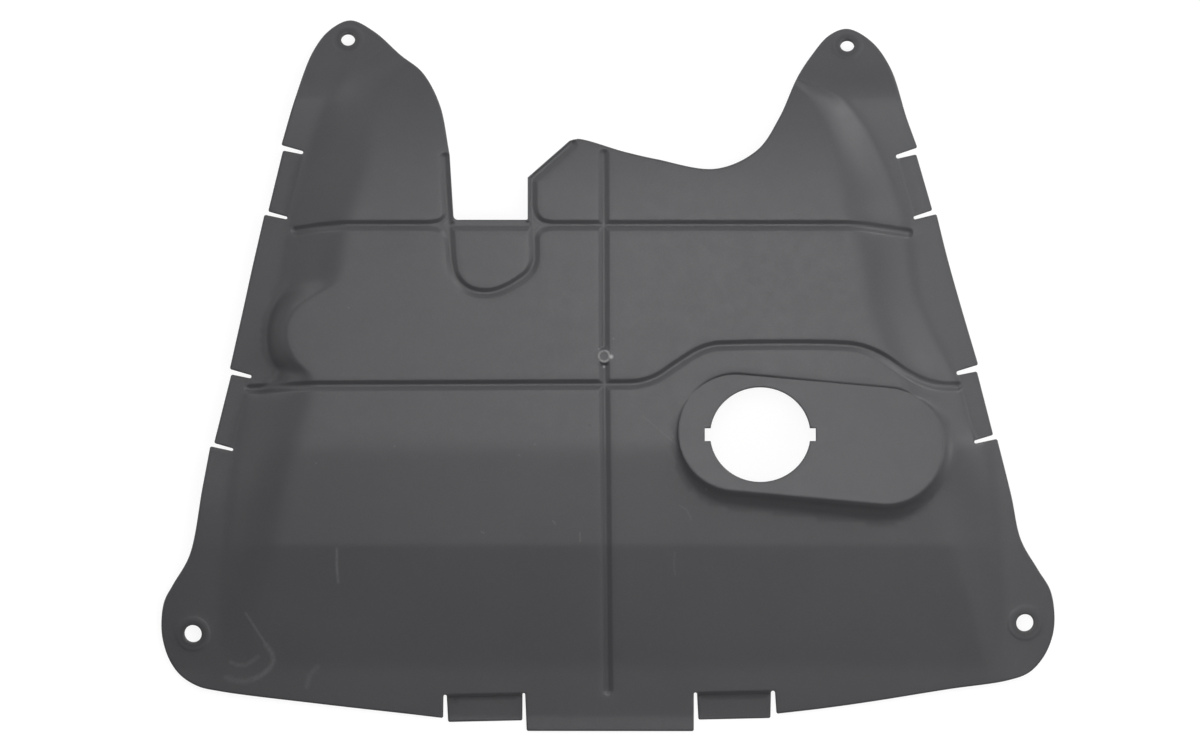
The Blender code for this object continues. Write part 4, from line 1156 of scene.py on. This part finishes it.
# Each painted highlight by the gate, a pale spot: its place, its radius and its strength
GATE_HIGHLIGHT_SPOTS = [
    ((2.3, 15.7), 2.9, 0.9), ((-3.8, 7.2), 1.8, 0.6), ((-8.1, 22.4), 1.4, 0.2), ((4.2, 30.9), 1.4, 0.15)]
NICKS = [
    (-181.8, -60.3), (-248.3, -74.8), (-62.5, -58.6), (-75.7, -68.0), (-220.6, 57.3), (83.2, -97.0),
]
DARK_SPOT = (-16.0, -42.4)
DARK_SPOT_RADIUS = 1.4
DARK_RING_INNER = 3.5
DARK_RING_OUTER = 1.5
DARK_RING_STRENGTH = 0.6
SCRATCH_FADE = 1.4
NICK_CORE = 0.4
NICK_EDGE = 1.3
NICK_STRENGTH = 0.6
# Pale ring round the gate: partly the gate's own pale mark, partly a painted highlight along the raised
# ring
PALE_RING_CORE = 0.2
PALE_RING_EDGE = 1.6
PALE_RING_STRENGTH = 0.4

# %% Tones and grain of the plastic
DARK_PLASTIC = (0.0285, 0.0285, 0.0315, 1.0)
LIGHT_PLASTIC = (0.0365, 0.0365, 0.0395, 1.0)
RUBBED_PLASTIC = (0.075, 0.075, 0.078, 1.0)
# Pale plastic for the gate's ring and for the painted highlights beside it
PALE_MARK_AND_HIGHLIGHT_PLASTIC = (0.26, 0.26, 0.26, 1.0)
# Darkest tone: one spot on the belly and a ring round each screw hole
DARKEST_PLASTIC = (0.012, 0.012, 0.013, 1.0)
SATIN_ROUGHNESS = 0.50
REFRACTION = 1.49
# Each grain: its fineness, its detail and its roughness
CLOUDS = (0.012, 4.0, 0.55)
DUST = (0.11, 5.0, 0.6)
RAGGED_EDGE = (0.45, 3.0, 0.6)
SPECKS = (0.9, 2.0, 0.5)
ETCHING = (2.6, 2.0, 0.6)
RELIEF_STRENGTH = 0.35
RELIEF_HEIGHT = 0.001

# %% The plastic's material


def black_plastic():
    """Satin black plastic with its clouds, its grain and its marks."""
    graph = Graph("black_polypropylene")
    place = graph.node("ShaderNodeTexCoord", {}, {}, "Object")
    millimetres = graph.node("ShaderNodeVectorMath", {"operation": "SCALE"}, {0: place, "Scale": 1 / MM})
    x = graph.node("ShaderNodeSeparateXYZ", {}, [millimetres], "X")
    y = graph.node("ShaderNodeSeparateXYZ", {}, [millimetres], "Y")

    def gap_to(spot):
        """Distance to a spot of the plan."""
        across, along = x - (spot[0] + PLAN_SHIFT.x), y - (spot[1] + PLAN_SHIFT.y)
        return (across * across + along * along).math("SQRT")

    def gap_to_line(start, end):
        """Distance to a line of the plan."""
        run = Vector(end) - Vector(start)
        across, along = x - (start[0] + PLAN_SHIFT.x), y - (start[1] + PLAN_SHIFT.y)
        share = ((across * run.x + along * run.y) / run.length_squared).clamped()
        across, along = across - share * run.x, along - share * run.y
        return (across * across + along * along).math("SQRT")

    grains = (CLOUDS, DUST, RAGGED_EDGE, SPECKS, ETCHING)
    clouds, dust, ragged, specks, etched = [graph.noise(millimetres, *grain) for grain in grains]

    scratched = 0.0
    for chain, width, strength in SCRATCHES:
        for start, end in zip(chain, chain[1:]):
            mark = graph.between(gap_to_line(start, end), 0.0, width * SCRATCH_FADE, strength, 0.0)
            scratched = mark.math("MAXIMUM", scratched)
    scratched = scratched * graph.between(ragged, 0.3, 0.6, 0.55, 1.0)
    for spot in NICKS:
        nick = graph.between(gap_to(spot), NICK_CORE, NICK_EDGE, NICK_STRENGTH, 0.0)
        scratched = scratched.math("MAXIMUM", nick)
    # The pale ring is partly the gate's pale mark and partly a painted highlight along the raised ring
    off_ring = (gap_to(GATE_CENTRE) - GATE_RING_RADIUS).math("ABSOLUTE")
    gate = graph.between(off_ring, PALE_RING_CORE, PALE_RING_EDGE, PALE_RING_STRENGTH, 0.0)
    gate = gate * graph.between(ragged, 0.35, 0.6, 0.5, 1.0)
    # The pale spots beside the gate are painted highlights
    for spot, radius, strength in GATE_HIGHLIGHT_SPOTS:
        gate = gate.math("MAXIMUM", graph.between(gap_to(spot), 0.0, radius, strength, 0.0))
    dark = graph.between(gap_to(DARK_SPOT), DARK_SPOT_RADIUS / 2, DARK_SPOT_RADIUS, 1.0, 0.0)
    for fixing in fixings:
        inner, outer = fixing.seat / 2 - DARK_RING_INNER, fixing.seat / 2 - DARK_RING_OUTER
        dark = graph.between(gap_to(fixing.centre), inner, outer, DARK_RING_STRENGTH, 0.0) + dark

    tone = graph.between(clouds, 0.3, 0.7, 0.0, 0.35) + graph.between(specks, 0.35, 0.75, 0.0, 0.65)
    plain = graph.mix(tone, DARK_PLASTIC, LIGHT_PLASTIC)
    rubbed = graph.mix(scratched * 0.8, plain, RUBBED_PLASTIC)
    # Painted highlight: the gate's ring and spots are mixed towards pale plastic
    paled_and_highlighted = graph.mix(gate, rubbed, PALE_MARK_AND_HIGHLIGHT_PLASTIC)
    colour = graph.mix(dark * 0.7, paled_and_highlighted, DARKEST_PLASTIC)
    dusty = SATIN_ROUGHNESS + graph.between(dust, 0.3, 0.7, -0.015, 0.02)
    roughness = dusty + graph.between(etched, 0.3, 0.7, -0.02, 0.02) + scratched * 0.05
    relief = etched * 0.06 + specks * 0.07 - scratched * 0.03
    bump = graph.node("ShaderNodeBump", {}, {
        "Strength": RELIEF_STRENGTH, "Distance": RELIEF_HEIGHT, "Height": relief})
    shader = graph.node("ShaderNodeBsdfPrincipled", {}, {
        "Base Color": colour, "Roughness": roughness, "Normal": bump, "IOR": REFRACTION})
    graph.surface(shader)
    return graph.material


shield.data.materials.append(black_plastic())
print("nodes in the plastic:", len(shield.data.materials[0].node_tree.nodes))

# %% [markdown]
# ## Floor
# The panel lies on a large sheet of white paper. A floor lit by the lamps alone would turn grey in the
# picture, so the camera sees mostly a white glow in its place. A share of the paper's own shading
# stays, so that the panel still has its soft shadow.

# %% White paper
FLOOR_REACH = 15.0
PAPER = (0.9, 0.9, 0.9, 1.0)
WHITE = (1.0, 1.0, 1.0, 1.0)
GLOW_STRENGTH = 1.05
GLOW_SHARE = 0.85


def white_floor():
    """Paper that glows white for the camera and is plain paper for the light that falls on it."""
    graph = Graph("white_paper")
    path = graph.tree.nodes.new("ShaderNodeLightPath")
    seen = 0.0
    for kind in ("Is Camera Ray", "Is Glossy Ray", "Is Transmission Ray"):
        seen = Wire(graph, path.outputs[kind]).math("MAXIMUM", seen)
    paper = graph.node("ShaderNodeBsdfDiffuse", {}, {"Color": PAPER})
    glow = graph.node("ShaderNodeEmission", {}, {"Color": WHITE, "Strength": GLOW_STRENGTH})
    graph.surface(graph.node("ShaderNodeMixShader", {}, [seen * GLOW_SHARE, paper, glow]))
    return graph.material


floor_sheet = bmesh.new()
bmesh.ops.create_grid(floor_sheet, x_segments=2, y_segments=2, size=FLOOR_REACH)
floor_mesh = bpy.data.meshes.new("floor")
floor_sheet.to_mesh(floor_mesh)
floor_sheet.free()
floor = bpy.data.objects.new("floor", floor_mesh)
bpy.context.scene.collection.objects.link(floor)
floor.data.materials.append(white_floor())

# %% [markdown]
# ## Light and camera
# The photograph's light comes mainly from the rear right, with less from above, both sides and the
# rear, and little from the front, so the faces that fall to the front are darker. One sun lamp would
# leave every face that turns away from it too dark, so the light is built as a photographer would
# build it, from square lamps. The strongest stands low at the rear right. Weaker ones stand above, at
# the rear, at the rear left and at both sides, a weak one stands at the front right, and the pale room
# fills the rest. The camera looks straight down from far away, as for a catalogue picture, with a long
# lens so that the raised belly isn't drawn larger than the flanges.

# %% The room and its lamps
ROOM_STRENGTH = 0.23
FLOOR_MIDDLE = Vector((0.0, 0.0, 0.0))
# Each lamp: its place and its width in metres, and its power in watts
LAMPS = {
    "overhead_lamp": ((0.1, 0.1, 0.9), 0.4, 2.1),
    "high_lamp": ((0.0, 0.0, 2.0), 1.0, 10.0),
    "high_right_lamp": ((0.7, 0.1, 1.9), 1.0, 4.0),
    "right_front_lamp": ((0.8, -0.8, 1.6), 0.8, 4.3),
    "left_rear_lamp": ((-0.8, 0.8, 1.6), 0.8, 1.6),
    "low_right_rear_lamp": ((1.4, 1.3, 1.0), 0.8, 24.0),
    "low_left_rear_lamp": ((-1.3, 1.4, 1.0), 0.8, 10.8),
    "low_left_lamp": ((-1.8, 0.0, 1.0), 0.8, 5.8),
    "low_right_lamp": ((1.8, 0.0, 1.0), 0.8, 2.3),
    "floor_right_lamp": ((2.0, 0.0, 0.5), 0.6, 9.0),
    "floor_rear_lamp": ((0.0, 2.0, 0.5), 0.6, 4.6),
}

world = bpy.data.worlds.new("studio")
world.use_nodes = True
world.node_tree.nodes["Background"].inputs["Color"].default_value = WHITE
world.node_tree.nodes["Background"].inputs["Strength"].default_value = ROOM_STRENGTH
bpy.context.scene.world = world


def soft_light(name, place, size, power):
    """A square lamp that points from its place at the middle of the floor."""
    lamp = bpy.data.lights.new(name, "AREA")
    lamp.shape = "SQUARE"
    lamp.size = size
    lamp.energy = power
    holder = bpy.data.objects.new(name, lamp)
    holder.location = place
    holder.rotation_mode = "QUATERNION"
    holder.rotation_quaternion = (FLOOR_MIDDLE - Vector(place)).to_track_quat("-Z", "Y")
    holder.visible_camera = False
    bpy.context.scene.collection.objects.link(holder)


for name, (place, size, power) in LAMPS.items():
    soft_light(name, place, size, power)
print("lamps:", len(LAMPS), "with", round(sum(power for _, _, power in LAMPS.values()), 1), "watts")

# %% The camera
CAMERA_HEIGHT = 18.0
SHEET_LEVEL = 0.017
SENSOR_WIDTH = 36.0
PICTURE_WIDTH = 1200
# How many metres a pixel of the photograph shows, and where its middle lies on the panel, in pixels
PIXEL = 0.0008506
PICTURE_MIDDLE = (-7.93, 1.21)

camera_data = bpy.data.cameras.new("camera")
camera_data.sensor_width = SENSOR_WIDTH
camera_data.lens = SENSOR_WIDTH * (CAMERA_HEIGHT - SHEET_LEVEL) / (PICTURE_WIDTH * PIXEL)
camera = bpy.data.objects.new("camera", camera_data)
camera.location = (PICTURE_MIDDLE[0] * PIXEL, PICTURE_MIDDLE[1] * PIXEL, CAMERA_HEIGHT)
bpy.context.scene.collection.objects.link(camera)
bpy.context.scene.camera = camera
bpy.context.scene.view_settings.view_transform = "Standard"
print("lens in millimetres:", round(camera_data.lens, 1))
